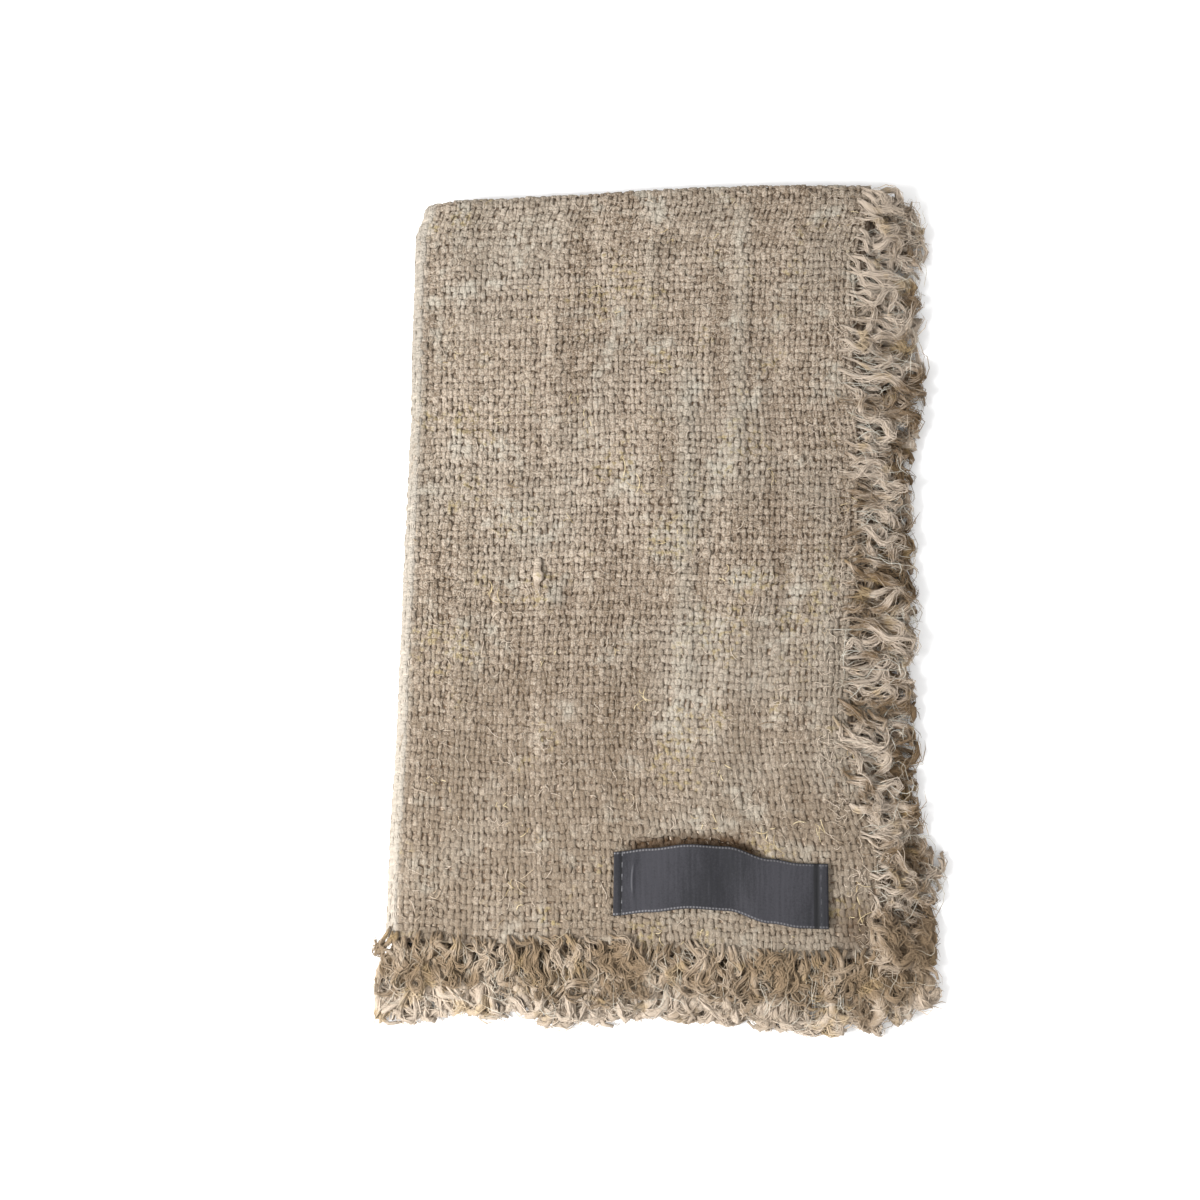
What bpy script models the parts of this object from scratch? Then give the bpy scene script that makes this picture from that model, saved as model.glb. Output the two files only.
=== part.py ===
"""A thick natural linen placemat with frayed edges, folded in quarters.

The cloth is one sheet. It is folded in half first, which makes the fold along
the far edge, and then in half again, which makes the round fold along the left
edge. Two layers of the sheet so lie above two others. From the top down they
are the upper outer, upper inner, lower inner and lower outer layer.

A point of the sheet is named by two numbers from -1 to 1. "across" runs from
the lower half's right edge, round the left fold, to the upper half's right
edge. "along" runs from the inner layer's near edge, round the far fold, to the
outer layer's near edge. Lengths are millimetres here, measured from the middle
of the woven face, and the finished meshes are metres about the middle of the
whole outline, with the floor at zero.
"""
import math
import random

import bmesh
import bpy
from mathutils import Vector

MM = 0.001

# Driving sizes of the cloth
THICKNESS = 1.4
LAYER_PITCH = 2.1
EDGE_SETTLE = 0.2
FOLD_FULLNESS = 0.9
FOLD_REACH = 15.0
FAR_FULLNESS = 0.3
FAR_REACH = 12.0
NOMINAL_LEFT = -79.5
NOMINAL_RIGHT = 70.0
NOMINAL_FAR = 126.5
NOMINAL_NEAR = -127.0

# Shares of the two folding numbers that the round folds take up
LEFT_BEND = 0.10
FAR_BEND = 0.04

# How far each layer's woven edge lies past the upper outer layer's
INNER_PAST_RIGHT = 3.0
LOWER_PAST_RIGHT = 5.5
INNER_PAST_NEAR = 1.5
LOWER_PAST_NEAR = 3.5

# Grid lines of the cloth: columns of each half and its fold, rows likewise
UPPER_COLUMNS = 26
LOWER_COLUMNS = 12
BEND_COLUMNS = 8
OUTER_ROWS = 15
INNER_ROWS = 10
BEND_ROWS = 6

# The left fold's outer line: how far to the right it lies at each height
LEFT_FOLD = (
    # y, x
    (-124.0, -81.9),
    (-100.0, -82.0),
    (-59.0, -81.2),
    (-5.0, -81.0),
    (50.0, -80.7),
    (76.0, -81.3),
    (116.0, -81.6),
    (126.0, -79.0),
)

# The far fold's outer line
FAR_FOLD = (
    # x, y
    (-80.0, 124.4),
    (-68.0, 125.9),
    (-31.0, 126.6),
    (2.0, 127.7),
    (31.0, 127.8),
    (76.0, 126.4),
)

# The upper outer layer's woven edge on the right
RIGHT_EDGE = (
    # y, x
    (-126.0, 75.0),
    (-100.0, 73.5),
    (-78.0, 68.0),
    (-58.0, 64.5),
    (-30.0, 65.5),
    (0.0, 68.3),
    (35.0, 69.4),
    (60.0, 67.6),
    (85.0, 69.0),
    (103.0, 70.0),
    (123.0, 75.0),
)

# The upper outer layer's woven edge at the near end
NEAR_EDGE = (
    # x, y
    (-80.0, -124.6),
    (-51.0, -126.9),
    (-20.0, -125.8),
    (5.0, -127.2),
    (36.0, -129.4),
    (63.0, -128.8),
    (75.0, -126.2),
)

# Soft ridges and troughs that run along the upper face
RIDGES = (
    # x, far end y, near end y, half width, height
    (10.4, 70.0, -25.0, 4.2, 0.75),
    (27.4, 140.0, 38.0, 4.0, 0.80),
    (-4.3, 140.0, 96.0, 3.6, 0.50),
    (59.8, 32.0, -30.0, 4.2, 0.55),
    (37.0, 86.0, -22.0, 4.0, -0.35),
    (-37.5, 64.0, 10.0, 4.5, -0.30),
    (-26.6, 0.0, -28.0, 4.0, -0.30),
    (-41.5, -60.0, -94.0, 4.5, -0.30),
    (-58.0, 30.0, -90.0, 6.0, 0.35),
)
RIDGE_END = 14.0
INNER_SHARE = 0.3

# The frayed edge: a narrow strip along each edge of the sheet with locks on it
SEAM_GAP = 0.3
STRIP_WIDTH = 2.4
LOCK_WIDTH = 2.4
LOCK_TIP = 0.5
CORNER_FAN = math.radians(34.0)
FAR_FAN = math.radians(16.0)
FAN_REACH = 24.0
LOCK_SEED = 11

# How far the locks of the lower layers reach on the right
RIGHT_TIPS = (
    # y, x
    (-126.0, 90.5),
    (-104.0, 94.0),
    (-80.0, 88.5),
    (-40.0, 86.5),
    (-9.0, 90.0),
    (26.0, 88.0),
    (60.0, 92.0),
    (86.0, 91.0),
    (113.0, 94.0),
    (126.0, 91.0),
)

# How far they reach at the near end
NEAR_TIPS = (
    # x, y
    (-84.0, -149.0),
    (-55.0, -149.0),
    (-25.0, -151.5),
    (5.0, -149.0),
    (39.0, -154.0),
    (60.0, -150.0),
    (76.0, -152.0),
)

# The locks of each layer, from its strip: the strip it grows on, its share of
# the way to the tips above, how many there are, the steps in each, how far
# they wander to the side and how far they rise
LAYER_LOCKS = {
    # layer: right reach, near reach, right count, near count, steps, sway, rise
    "upper_outer": (0.74, 0.80, 38, 25, 3, 1.3, 1.9),
    "upper_inner": (0.88, 0.90, 24, 16, 3, 1.2, 0.0),
    "lower_inner": (0.94, 0.95, 22, 16, 2, 1.0, 0.0),
    "lower_outer": (1.00, 1.00, 26, 19, 3, 1.3, 0.0),
}

# The woven label on the upper face
LABEL_LEFT = -9.2
LABEL_RIGHT = 57.4
LABEL_HEIGHT = 19.8
LABEL_THICKNESS = 1.0
LABEL_GAP = 0.35
LABEL_LIFT = 1.6
LABEL_COLUMNS = 18
LABEL_ROWS = 2
LABEL_LINE = (
    # x, y of the middle line
    (-9.2, -107.2),
    (2.0, -106.0),
    (14.6, -104.7),
    (26.0, -105.2),
    (39.5, -108.9),
    (49.0, -110.2),
    (57.4, -110.3),
)

LINEN_COLOUR = (0.386, 0.319, 0.246, 1.0)
FRINGE_COLOUR = (0.362, 0.296, 0.222, 1.0)
LABEL_COLOUR = (0.069, 0.067, 0.076, 1.0)


def clear_scene():
    """Remove what the default scene holds."""
    for thing in list(bpy.data.objects):
        bpy.data.objects.remove(thing, do_unlink=True)


def ease(value):
    """Zero up to 0, one past 1, and a smooth S between."""
    value = min(max(value, 0.0), 1.0)
    return value * value * (3.0 - 2.0 * value)


def between(start, end, share):
    return start + (end - start) * share


def read_table(rows, where):
    """The second column at a place in the first, eased from row to row."""
    if where <= rows[0][0]:
        return rows[0][1]
    for (low, start), (high, end) in zip(rows, rows[1:]):
        if where <= high:
            return between(start, end, ease((where - low) / (high - low)))
    return rows[-1][1]


def bell(distance, reach):
    """One at no distance, falling smoothly to nothing well past the reach."""
    return math.exp(-((distance / reach) ** 2))


def read_across(across):
    """Share of the way to the right edge, and the angle round the left fold."""
    if abs(across) >= LEFT_BEND:
        share = (abs(across) - LEFT_BEND) / (1.0 - LEFT_BEND)
        return share, math.copysign(math.pi / 2, across)
    return 0.0, math.pi / 2 * across / LEFT_BEND


def read_along(along):
    """Share of the way to the near edge, and the angle round the far fold."""
    if abs(along) >= FAR_BEND:
        share = (abs(along) - FAR_BEND) / (1.0 - FAR_BEND)
        return share, math.copysign(math.pi / 2, along)
    return 0.0, math.pi / 2 * along / FAR_BEND


def relief(x, y):
    """Height of the soft ridges at a place on the upper face."""
    height = 0.0
    for middle, far_end, near_end, half_width, crest in RIDGES:
        reach = ease((far_end - y) / RIDGE_END) * ease((y - near_end) / RIDGE_END)
        height += crest * reach * bell(x - middle, half_width)
    clear_of_label = ease((y + 84.0) / 14.0)
    clear_of_folds = ease((x - NOMINAL_LEFT - 8.0) / 10.0) * ease((NOMINAL_FAR - 2.0 - y) / 8.0)
    return height * clear_of_label * clear_of_folds


def sheet_point(across, along):
    """Middle of the sheet's thickness at one point, and the way its outer side faces.

    The far fold's section is a U: the outer layer half a pitch out, the inner
    layer half a pitch in. The left fold carries that section round a half
    circle, so the outer layer wraps round the inner one.
    """
    share_right, turn = read_across(across)
    share_near, curl = read_along(along)
    upper = turn > 0.0
    inner = curl < 0.0
    nominal_x = between(NOMINAL_LEFT, NOMINAL_RIGHT, share_right)
    nominal_y = between(NOMINAL_FAR, NOMINAL_NEAR, share_near)

    settle = EDGE_SETTLE * ease((share_near - 0.55) / 0.45)
    half_pitch = (LAYER_PITCH - settle) / 2
    far_half = LAYER_PITCH / 2 + FAR_FULLNESS
    far_line = read_table(FAR_FOLD, nominal_x) - far_half - THICKNESS / 2
    near_line = read_table(NEAR_EDGE, nominal_x)
    inner_share = 0.5 * (1.0 - math.sin(curl))
    lower_share = 0.0 if upper else ease(share_right / 0.3)
    near_line -= INNER_PAST_NEAR * inner_share + LOWER_PAST_NEAR * lower_share
    y = between(far_line, near_line, share_near)
    half_pitch += FAR_FULLNESS * bell(far_line - y, FAR_REACH)
    offset = half_pitch * math.sin(curl)
    y += half_pitch * math.cos(curl)

    left_line = read_table(LEFT_FOLD, nominal_y)
    radius = (2 * half_pitch + LAYER_PITCH - settle + FOLD_FULLNESS) / 2
    centre_x = left_line + radius + half_pitch + THICKNESS / 2
    centre_z = THICKNESS / 2 + half_pitch + radius
    right_line = read_table(RIGHT_EDGE, nominal_y)
    right_line += INNER_PAST_RIGHT * inner_share * ease(share_near / 0.1)
    right_line += LOWER_PAST_RIGHT * lower_share
    x = between(centre_x, right_line, share_right)

    facing = Vector((-math.cos(turn), 0.0, math.sin(turn)))
    middle = Vector((x - radius * math.cos(turn), y, centre_z + radius * math.sin(turn)))
    if upper:
        middle.z -= FOLD_FULLNESS * (1.0 - bell(x - centre_x, FOLD_REACH))
        bump = relief(x, y) * ease(turn / (math.pi / 2))
        middle.z += bump * (INNER_SHARE if inner else 1.0)
    outward = facing * math.sin(curl) + Vector((0.0, math.cos(curl), 0.0))
    return middle + facing * offset, outward


def spread(start, end, count):
    """Evenly spaced numbers, the first left out."""
    return [between(start, end, (step + 1) / count) for step in range(count)]


def cloth_stations():
    """The across numbers of the cloth's columns and the along numbers of its rows."""
    columns = [-1.0] + spread(-1.0, -LEFT_BEND, LOWER_COLUMNS)
    columns += spread(-LEFT_BEND, LEFT_BEND, BEND_COLUMNS)
    columns += spread(LEFT_BEND, 1.0, UPPER_COLUMNS)
    rows = [-1.0] + spread(-1.0, -FAR_BEND, INNER_ROWS)
    rows += spread(-FAR_BEND, FAR_BEND, BEND_ROWS)
    rows += spread(FAR_BEND, 1.0, OUTER_ROWS)
    return columns, rows


def principled(name, colour, roughness):
    material = bpy.data.materials.new(name)
    material.use_nodes = True
    shader = material.node_tree.nodes["Principled BSDF"]
    shader.inputs["Base Color"].default_value = colour
    shader.inputs["Roughness"].default_value = roughness
    shader.inputs["Metallic"].default_value = 0.0
    material.diffuse_color = colour
    return material


def add_sheet(name, collection, columns, rows, place, thickness):
    """A grid whose corners are placed by a function, given its thickness by Solidify."""
    mesh = bpy.data.meshes.new(name)
    shape = bmesh.new()
    bmesh.ops.create_grid(shape, x_segments=len(columns) - 1, y_segments=len(rows) - 1, size=1.0)
    for corner in shape.verts:
        column = round((corner.co.x + 1.0) / 2 * (len(columns) - 1))
        row = round((corner.co.y + 1.0) / 2 * (len(rows) - 1))
        corner.co = place(columns[column], rows[row]) * MM
    shape.to_mesh(mesh)
    shape.free()
    sheet = bpy.data.objects.new(name, mesh)
    collection.objects.link(sheet)
    wall = sheet.modifiers.new("Thickness", "SOLIDIFY")
    wall.thickness = thickness * MM
    wall.offset = 0.0
    wall.use_even_offset = True
    mesh.shade_smooth()
    return sheet


def add_cloth(collection, linen):
    columns, rows = cloth_stations()
    cloth = add_sheet("cloth", collection, columns, rows,
                      lambda across, along: sheet_point(across, along)[0], THICKNESS)
    cloth.data.materials.append(linen)
    return cloth


def strip_stations(length, bend_length, bend, counts, bend_locks):
    """Places along a strip, and which stretches between them carry a lock.

    counts holds the locks on the stretch before the fold and on the one after
    it. Every lock takes LOCK_WIDTH of the strip, with a plain stretch between,
    and on the fold the plain stretches are halved so that they follow it.
    """
    places = [-1.0]
    locks = []

    def add_locks(start, end, count, half_width, halve):
        pitch = (end - start) / count
        for number in range(count):
            middle = start + pitch * (number + 0.5)
            if halve:
                places.append((places[-1] + middle - half_width) / 2)
            locks.append(len(places))
            places.extend((middle - half_width, middle + half_width))
        if halve:
            places.append((places[-1] + end) / 2)
        places.append(end)

    flat_half = LOCK_WIDTH / length * (1.0 - bend) / 2
    fold_half = LOCK_WIDTH / bend_length * bend
    add_locks(-1.0, -bend, counts[0], flat_half, False)
    add_locks(-bend, bend, bend_locks, fold_half, True)
    add_locks(bend, 1.0, counts[1], flat_half, False)
    return places, locks


def edge_point(edge, place, out, up):
    """A point past one of the sheet's four edges, by its distance out and up.

    It is measured from the straight stretch of the cloth's rim between two of
    its grid lines, so that the gap to the rim stays even.
    """
    side, sign = edge
    columns, rows = cloth_stations()
    lines = rows if side == "right" else columns
    away = Vector((1.0, 0.0, 0.0)) if side == "right" else Vector((0.0, -1.0, 0.0))
    high = next(index for index, line in enumerate(lines) if index and line >= place - 1e-9)
    share = (place - lines[high - 1]) / (lines[high] - lines[high - 1])
    ends = []
    for line in (lines[high - 1], lines[high]):
        ends.append(sheet_point(sign, line) if side == "right" else sheet_point(line, sign))
    middle = ends[0][0].lerp(ends[1][0], share)
    facing = ends[0][1].lerp(ends[1][1], share).normalized()
    return middle + away * out + facing * up


def layer_at(edge, place):
    """Name of the layer that the edge belongs to at a place along it."""
    side, sign = edge
    across, along = (sign, place) if side == "right" else (place, sign)
    half = "upper" if across > 0 else "lower"
    return half + ("_outer" if along > 0 else "_inner")


def lock_offsets(edge, place, root, chance):
    """Offsets from a lock's root to each of its steps, for its layer.

    A lock runs out from the edge, fans towards the corner, wanders to and fro
    and, on the top layer alone, rises a little before its tip comes down.
    """
    side = edge[0]
    right_reach, near_reach, _, _, steps, sway, rise = LAYER_LOCKS[layer_at(edge, place)]
    bend = FAR_BEND if side == "right" else LEFT_BEND
    on_fold = abs(place) < bend
    if side == "right":
        tip = read_table(RIGHT_TIPS, root.y)
        length = (tip - root.x) * right_reach
        to_corner = ease(1.0 - (root.y - NOMINAL_NEAR) / FAN_REACH)
        to_far = ease(1.0 - (NOMINAL_FAR - root.y) / FAN_REACH)
        lean = CORNER_FAN * to_corner - FAR_FAN * to_far
        out, aside = Vector((1.0, 0.0, 0.0)), Vector((0.0, -1.0, 0.0))
    else:
        tip = read_table(NEAR_TIPS, root.x)
        length = (root.y - tip) * near_reach
        lean = CORNER_FAN * ease(1.0 - (NOMINAL_RIGHT - root.x) / FAN_REACH)
        out, aside = Vector((0.0, -1.0, 0.0)), Vector((1.0, 0.0, 0.0))
    length *= chance.uniform(0.88, 1.06)
    wander = 0.15 if on_fold else 1.0
    phase = 0.16 * (root.y if side == "right" else root.x) + chance.uniform(-0.5, 0.5)
    lift = rise * chance.uniform(0.4, 1.0) * wander
    offsets = []
    for step in range(1, steps + 1):
        share = step / steps
        swing = sway * wander * (math.sin(phase + 4.4 * share) - math.sin(phase))
        run = length * share
        offset = out * (run * math.cos(lean)) + aside * (run * math.sin(lean) * wander)
        offset += (out * -math.sin(lean) + aside * math.cos(lean)) * swing
        offset.z += lift * math.sin(math.pi * min(0.8 * share, 1.0))
        offsets.append(offset)
    return offsets


def grow_lock(shape, root_face, edge, place, chance):
    """Extrude one face of the strip step by step into a tapering lock."""
    corners = [corner.co / MM for corner in root_face.verts]
    root = sum(corners, Vector()) / len(corners)
    offsets = lock_offsets(edge, place, root, chance)
    on_floor = layer_at(edge, place) == "lower_outer"
    face = root_face
    for step, offset in enumerate(offsets, start=1):
        grown = bmesh.ops.extrude_discrete_faces(shape, faces=[face])
        face = grown["faces"][0]
        taper = between(1.0, LOCK_TIP, step / len(offsets))
        drop = (1.0 - taper) * THICKNESS / 2 if on_floor else 0.0
        for corner, start in zip(face.verts, corners):
            moved = root + offset + (start - root) * taper
            moved.z -= drop
            corner.co = moved * MM


def add_fringe(name, collection, material, edge, seed):
    """The strip along one edge of the sheet, with its locks grown out of it."""
    side, sign = edge
    if side == "right":
        half = "upper" if sign > 0 else "lower"
        counts = (LAYER_LOCKS[half + "_inner"][2], LAYER_LOCKS[half + "_outer"][2])
        length, bend = NOMINAL_FAR - NOMINAL_NEAR, FAR_BEND
        bend_length, bend_locks = math.pi * (LAYER_PITCH / 2 + FAR_FULLNESS), 1
    else:
        layer = "outer" if sign > 0 else "inner"
        counts = (LAYER_LOCKS["lower_" + layer][3], LAYER_LOCKS["upper_" + layer][3])
        length, bend = NOMINAL_RIGHT - NOMINAL_LEFT, LEFT_BEND
        turn_radius = LAYER_PITCH + FOLD_FULLNESS / 2 + sign * LAYER_PITCH / 2
        bend_length, bend_locks = math.pi * turn_radius, 2 if sign > 0 else 1
    places, locks = strip_stations(length, bend_length, bend, counts, bend_locks)

    shape = bmesh.new()
    station = shape.verts.layers.int.new("station")
    outer = shape.verts.layers.int.new("outer")
    bmesh.ops.create_grid(shape, x_segments=len(places) - 1, y_segments=1, size=1.0)
    outs = (SEAM_GAP, SEAM_GAP + STRIP_WIDTH)
    for corner in shape.verts:
        corner[station] = round((corner.co.x + 1.0) / 2 * (len(places) - 1))
        corner[outer] = int(corner.co.y > 0.0)
        corner.co = edge_point(edge, places[corner[station]], outs[corner[outer]], -THICKNESS / 2) * MM
    raised = bmesh.ops.extrude_face_region(shape, geom=shape.faces[:])
    for corner in raised["geom"]:
        if isinstance(corner, bmesh.types.BMVert):
            corner.co = edge_point(edge, places[corner[station]], outs[corner[outer]], THICKNESS / 2) * MM

    roots = {}
    for face in shape.faces:
        stations = {corner[station] for corner in face.verts}
        if all(corner[outer] for corner in face.verts) and len(stations) == 2:
            roots[min(stations)] = face
    chance = random.Random(seed)
    for first in locks:
        middle = (places[first] + places[first + 1]) / 2
        grow_lock(shape, roots[first], edge, middle, chance)
    bmesh.ops.recalc_face_normals(shape, faces=shape.faces[:])

    mesh = bpy.data.meshes.new(name)
    shape.to_mesh(mesh)
    shape.free()
    fringe = bpy.data.objects.new(name, mesh)
    collection.objects.link(fringe)
    mesh.materials.append(material)
    return fringe


def face_height(x, y):
    """Height of the cloth's upper surface where the label lies."""
    share_right = (x - NOMINAL_LEFT) / (NOMINAL_RIGHT - NOMINAL_LEFT)
    share_near = (NOMINAL_FAR - y) / (NOMINAL_FAR - NOMINAL_NEAR)
    across = between(LEFT_BEND, 1.0, min(share_right, 1.0))
    along = between(FAR_BEND, 1.0, min(share_near, 1.0))
    return sheet_point(across, along)[0].z + THICKNESS / 2


def label_point(share_x, share_y):
    """Middle of the label's thickness: flat at its sewn ends, arched between."""
    x = between(LABEL_LEFT, LABEL_RIGHT, share_x)
    y = read_table(LABEL_LINE, x) + LABEL_HEIGHT / 2 * share_y
    lift = LABEL_LIFT * bell(share_x - 0.36, 0.2) * ease(share_x / 0.12)
    rest = face_height(x, read_table(LABEL_LINE, x))
    return Vector((x, y, rest + LABEL_GAP + LABEL_THICKNESS / 2 + lift))


def add_label(collection, satin):
    columns = [0.0] + spread(0.0, 1.0, LABEL_COLUMNS)
    rows = [-1.0] + spread(-1.0, 1.0, LABEL_ROWS)
    label = add_sheet("label", collection, columns, rows, label_point, LABEL_THICKNESS)
    label.data.materials.append(satin)
    return label


def centre_on_floor(parts):
    """Move the meshes so that the middle of their outline is the origin."""
    bpy.context.view_layer.update()
    corners = [Vector(corner) for part in parts for corner in part.bound_box]
    middle_x = (min(c.x for c in corners) + max(c.x for c in corners)) / 2
    middle_y = (min(c.y for c in corners) + max(c.y for c in corners)) / 2
    for part in parts:
        part.location = (-middle_x, -middle_y, 0.0)


def main():
    clear_scene()
    collection = bpy.data.collections.new("linen_placemat")
    bpy.context.scene.collection.children.link(collection)
    linen = principled("linen", LINEN_COLOUR, 0.92)
    fringe = principled("fringe", FRINGE_COLOUR, 0.95)
    satin = principled("label", LABEL_COLOUR, 0.48)
    edges = {
        "fringe_right_upper": ("right", 1.0),
        "fringe_right_lower": ("right", -1.0),
        "fringe_near_outer": ("near", 1.0),
        "fringe_near_inner": ("near", -1.0),
    }
    parts = [add_cloth(collection, linen), add_label(collection, satin)]
    for number, (name, edge) in enumerate(edges.items()):
        parts.append(add_fringe(name, collection, fringe, edge, LOCK_SEED + number))
    centre_on_floor(parts)


main()
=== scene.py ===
"""The looks of a thick linen placemat with frayed edges, folded in quarters.

The weave of the face is laid yarn by yarn over a thin folded sheet. The frayed
edges are woolly locks: a soft core wound with loose fibres. Lengths are
millimetres from the middle of the woven face until a mesh is made.
"""
import math

import bpy
import numpy as np
from mathutils import Matrix, Vector


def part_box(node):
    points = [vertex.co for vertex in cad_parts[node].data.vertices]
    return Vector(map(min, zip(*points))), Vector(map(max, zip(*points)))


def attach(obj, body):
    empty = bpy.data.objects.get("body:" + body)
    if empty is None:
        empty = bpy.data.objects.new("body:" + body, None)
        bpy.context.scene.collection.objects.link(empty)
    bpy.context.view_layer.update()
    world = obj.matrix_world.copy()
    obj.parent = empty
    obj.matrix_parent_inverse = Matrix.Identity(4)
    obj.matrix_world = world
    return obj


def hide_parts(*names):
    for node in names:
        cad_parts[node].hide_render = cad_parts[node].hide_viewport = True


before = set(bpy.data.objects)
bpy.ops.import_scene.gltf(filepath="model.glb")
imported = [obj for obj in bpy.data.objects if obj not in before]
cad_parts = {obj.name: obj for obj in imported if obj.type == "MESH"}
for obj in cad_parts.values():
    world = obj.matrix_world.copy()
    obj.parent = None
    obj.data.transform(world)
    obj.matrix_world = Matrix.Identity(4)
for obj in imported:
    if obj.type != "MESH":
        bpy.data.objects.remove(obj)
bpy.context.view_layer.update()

MM = 0.001

# The folded sheet
SHEET_THICKNESS = 1.4
LAYER_PITCH = 2.1
EDGE_SETTLE = 0.2
FOLD_FULLNESS = 0.9
FOLD_REACH = 15.0
FAR_FULLNESS = 0.3
FAR_REACH = 12.0
NOMINAL_LEFT = -79.5
NOMINAL_RIGHT = 70.0
NOMINAL_FAR = 126.5
NOMINAL_NEAR = -127.0
LEFT_BEND = 0.10
FAR_BEND = 0.04
INNER_PAST_RIGHT = 3.0
LOWER_PAST_RIGHT = 5.5
INNER_PAST_NEAR = 1.5
LOWER_PAST_NEAR = 3.5

LEFT_FOLD = (
    # y, x
    (-124.0, -81.9),
    (-100.0, -82.0),
    (-59.0, -81.2),
    (-5.0, -81.0),
    (50.0, -80.7),
    (76.0, -81.3),
    (116.0, -81.6),
    (126.0, -79.0),
)
FAR_FOLD = (
    # x, y
    (-80.0, 124.4),
    (-68.0, 125.9),
    (-31.0, 126.6),
    (2.0, 127.7),
    (31.0, 127.8),
    (76.0, 126.4),
)
RIGHT_EDGE = (
    # y, x
    (-126.0, 75.0),
    (-100.0, 73.5),
    (-78.0, 68.0),
    (-58.0, 64.5),
    (-30.0, 65.5),
    (0.0, 68.3),
    (35.0, 69.4),
    (60.0, 67.6),
    (85.0, 69.0),
    (103.0, 70.0),
    (123.0, 75.0),
)
NEAR_EDGE = (
    # x, y
    (-80.0, -124.6),
    (-51.0, -126.9),
    (-20.0, -125.8),
    (5.0, -127.2),
    (36.0, -129.4),
    (63.0, -128.8),
    (75.0, -126.2),
)

# The relief of the face: long soft ridges, hollows where the height is below 0, and two round dips
RIDGES = (
    # x at the far end, far end y, x at the near end, near end y, half width, height
    (32.5, 140.0, 28.0, 22.0, 3.6, 0.85),
    (13.4, 72.0, 12.2, -54.0, 3.8, 0.80),
    (0.2, 118.0, 0.6, 66.0, 3.4, 0.50),
    (58.1, 22.0, 57.2, -42.0, 3.8, 0.60),
    (-34.4, 96.0, -23.4, -8.0, 3.4, 0.35),
    (-58.0, 30.0, -59.0, -90.0, 6.0, 0.30),
    (-37.0, 92.0, -36.4, 24.0, 3.2, -0.35),
    (24.0, 84.0, 22.6, 26.0, 3.4, -0.40),
    (38.5, 86.0, 45.0, -34.0, 4.2, -0.50),
    (-43.5, -54.0, -43.2, -96.0, 4.5, -0.35),
    (9.0, -56.0, 9.0, -92.0, 3.4, -0.35),
)
DIPS = (
    # x, y, reach across, reach along, depth
    (-26.0, -15.0, 6.0, 9.0, 0.75),
    (66.0, -119.0, 9.0, 11.0, 1.00),
)
RIDGE_END = 14.0
RELIEF_NEAR = -84.0
# How much of the relief the layer under the face takes
INNER_SHARE = 0.3

# How far the frayed ends reach
RIGHT_TIPS = (
    # y, x
    (-126.0, 91.0),
    (-114.0, 89.8),
    (-103.0, 94.0),
    (-91.0, 88.2),
    (-78.0, 86.6),
    (-40.0, 86.5),
    (-13.0, 88.2),
    (0.0, 87.0),
    (26.0, 86.5),
    (60.0, 92.0),
    (86.0, 91.0),
    (113.0, 94.0),
    (126.0, 91.0),
)
NEAR_TIPS = (
    # x, y
    (-84.0, -152.0),
    (-55.0, -149.3),
    (-25.0, -151.5),
    (5.0, -149.0),
    (33.0, -150.5),
    (45.0, -151.2),
    (60.0, -152.4),
    (68.0, -150.5),
    (75.0, -147.0),
    (81.0, -142.5),
)

# Near the right corner locks lean over, sway further and stand closer
CORNER_REACH = 24.0
SIDE_SWAY = 6.0
CORNER_SWAY = 6.0
CORNER_CROWD = 1.12
FAR_TIDY = 16.0
FRINGE_FAR = 126.0
FRINGE_LEFT = -84.5

# Painted light and shade on the frayed edges: how much brighter or darker they are from place to place
RIGHT_LIGHT_AND_SHADE = (
    # y, tone
    (-126.0, -1.6),
    (-113.0, -0.3),
    (-106.0, 0.8),
    (-96.0, 0.8),
    (-84.0, -1.2),
    (-70.0, 0.1),
    (30.0, 0.0),
    (46.0, 1.5),
    (62.0, 0.3),
    (90.0, 1.9),
    (126.0, 2.1),
)
NEAR_LIGHT_AND_SHADE = (
    # x, tone
    (-80.0, 1.0),
    (-60.0, 0.2),
    (0.0, 0.0),
    (15.0, -0.6),
    (40.0, -0.6),
    (55.0, -1.4),
    (68.0, -2.5),
    (81.0, -3.2),
)

# The weave: how many yarns lie on the face, round a fold and below it
WARP_ON_FACE = 82
WARP_ON_FOLD = 6
WARP_BELOW = 4
WEFT_ON_FACE = 101
WEFT_ON_FOLD = 2
WEFT_BELOW = 2
WEAVE_LIFT = 0.38
WARP_RISE = 0.34
WEFT_RISE = 0.30
WARP_HALF_WIDTH = 0.84
WEFT_HALF_WIDTH = 1.15
YARN_HALF_HEIGHT = 0.46
NEAR_CALM = 0.32
WIDEST_SWELL = 1.45
PRESSED_SWELL = 1.1
FACE_LIFT = 1.15
YARN_SECTION = np.radians([-20.0, 48.0, 132.0, 200.0])
FIBRE_SECTION = np.radians([30.0, 150.0, 270.0])
CORE_SECTION = np.radians([0.0, 60.0, 120.0, 180.0, 240.0, 300.0])
STRAW_SECTION = np.radians([0.0, 90.0, 180.0, 270.0])

# A thick place in one warp yarn
NUB_X = -34.6
NUB_Y = -7.2
NUB_SWELL = 1.9
NUB_LIFT = 0.9
NUB_TONE = 2.8

# The thin sheet under the yarns: how far its two faces lie from the middle, and how
# much more it fills the gaps on the worn fold and towards the near edge
BACKING_OUT = 0.15
BACKING_IN = -0.70
WORN_FILL = 0.55
NEAR_FILL = 0.16

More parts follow.
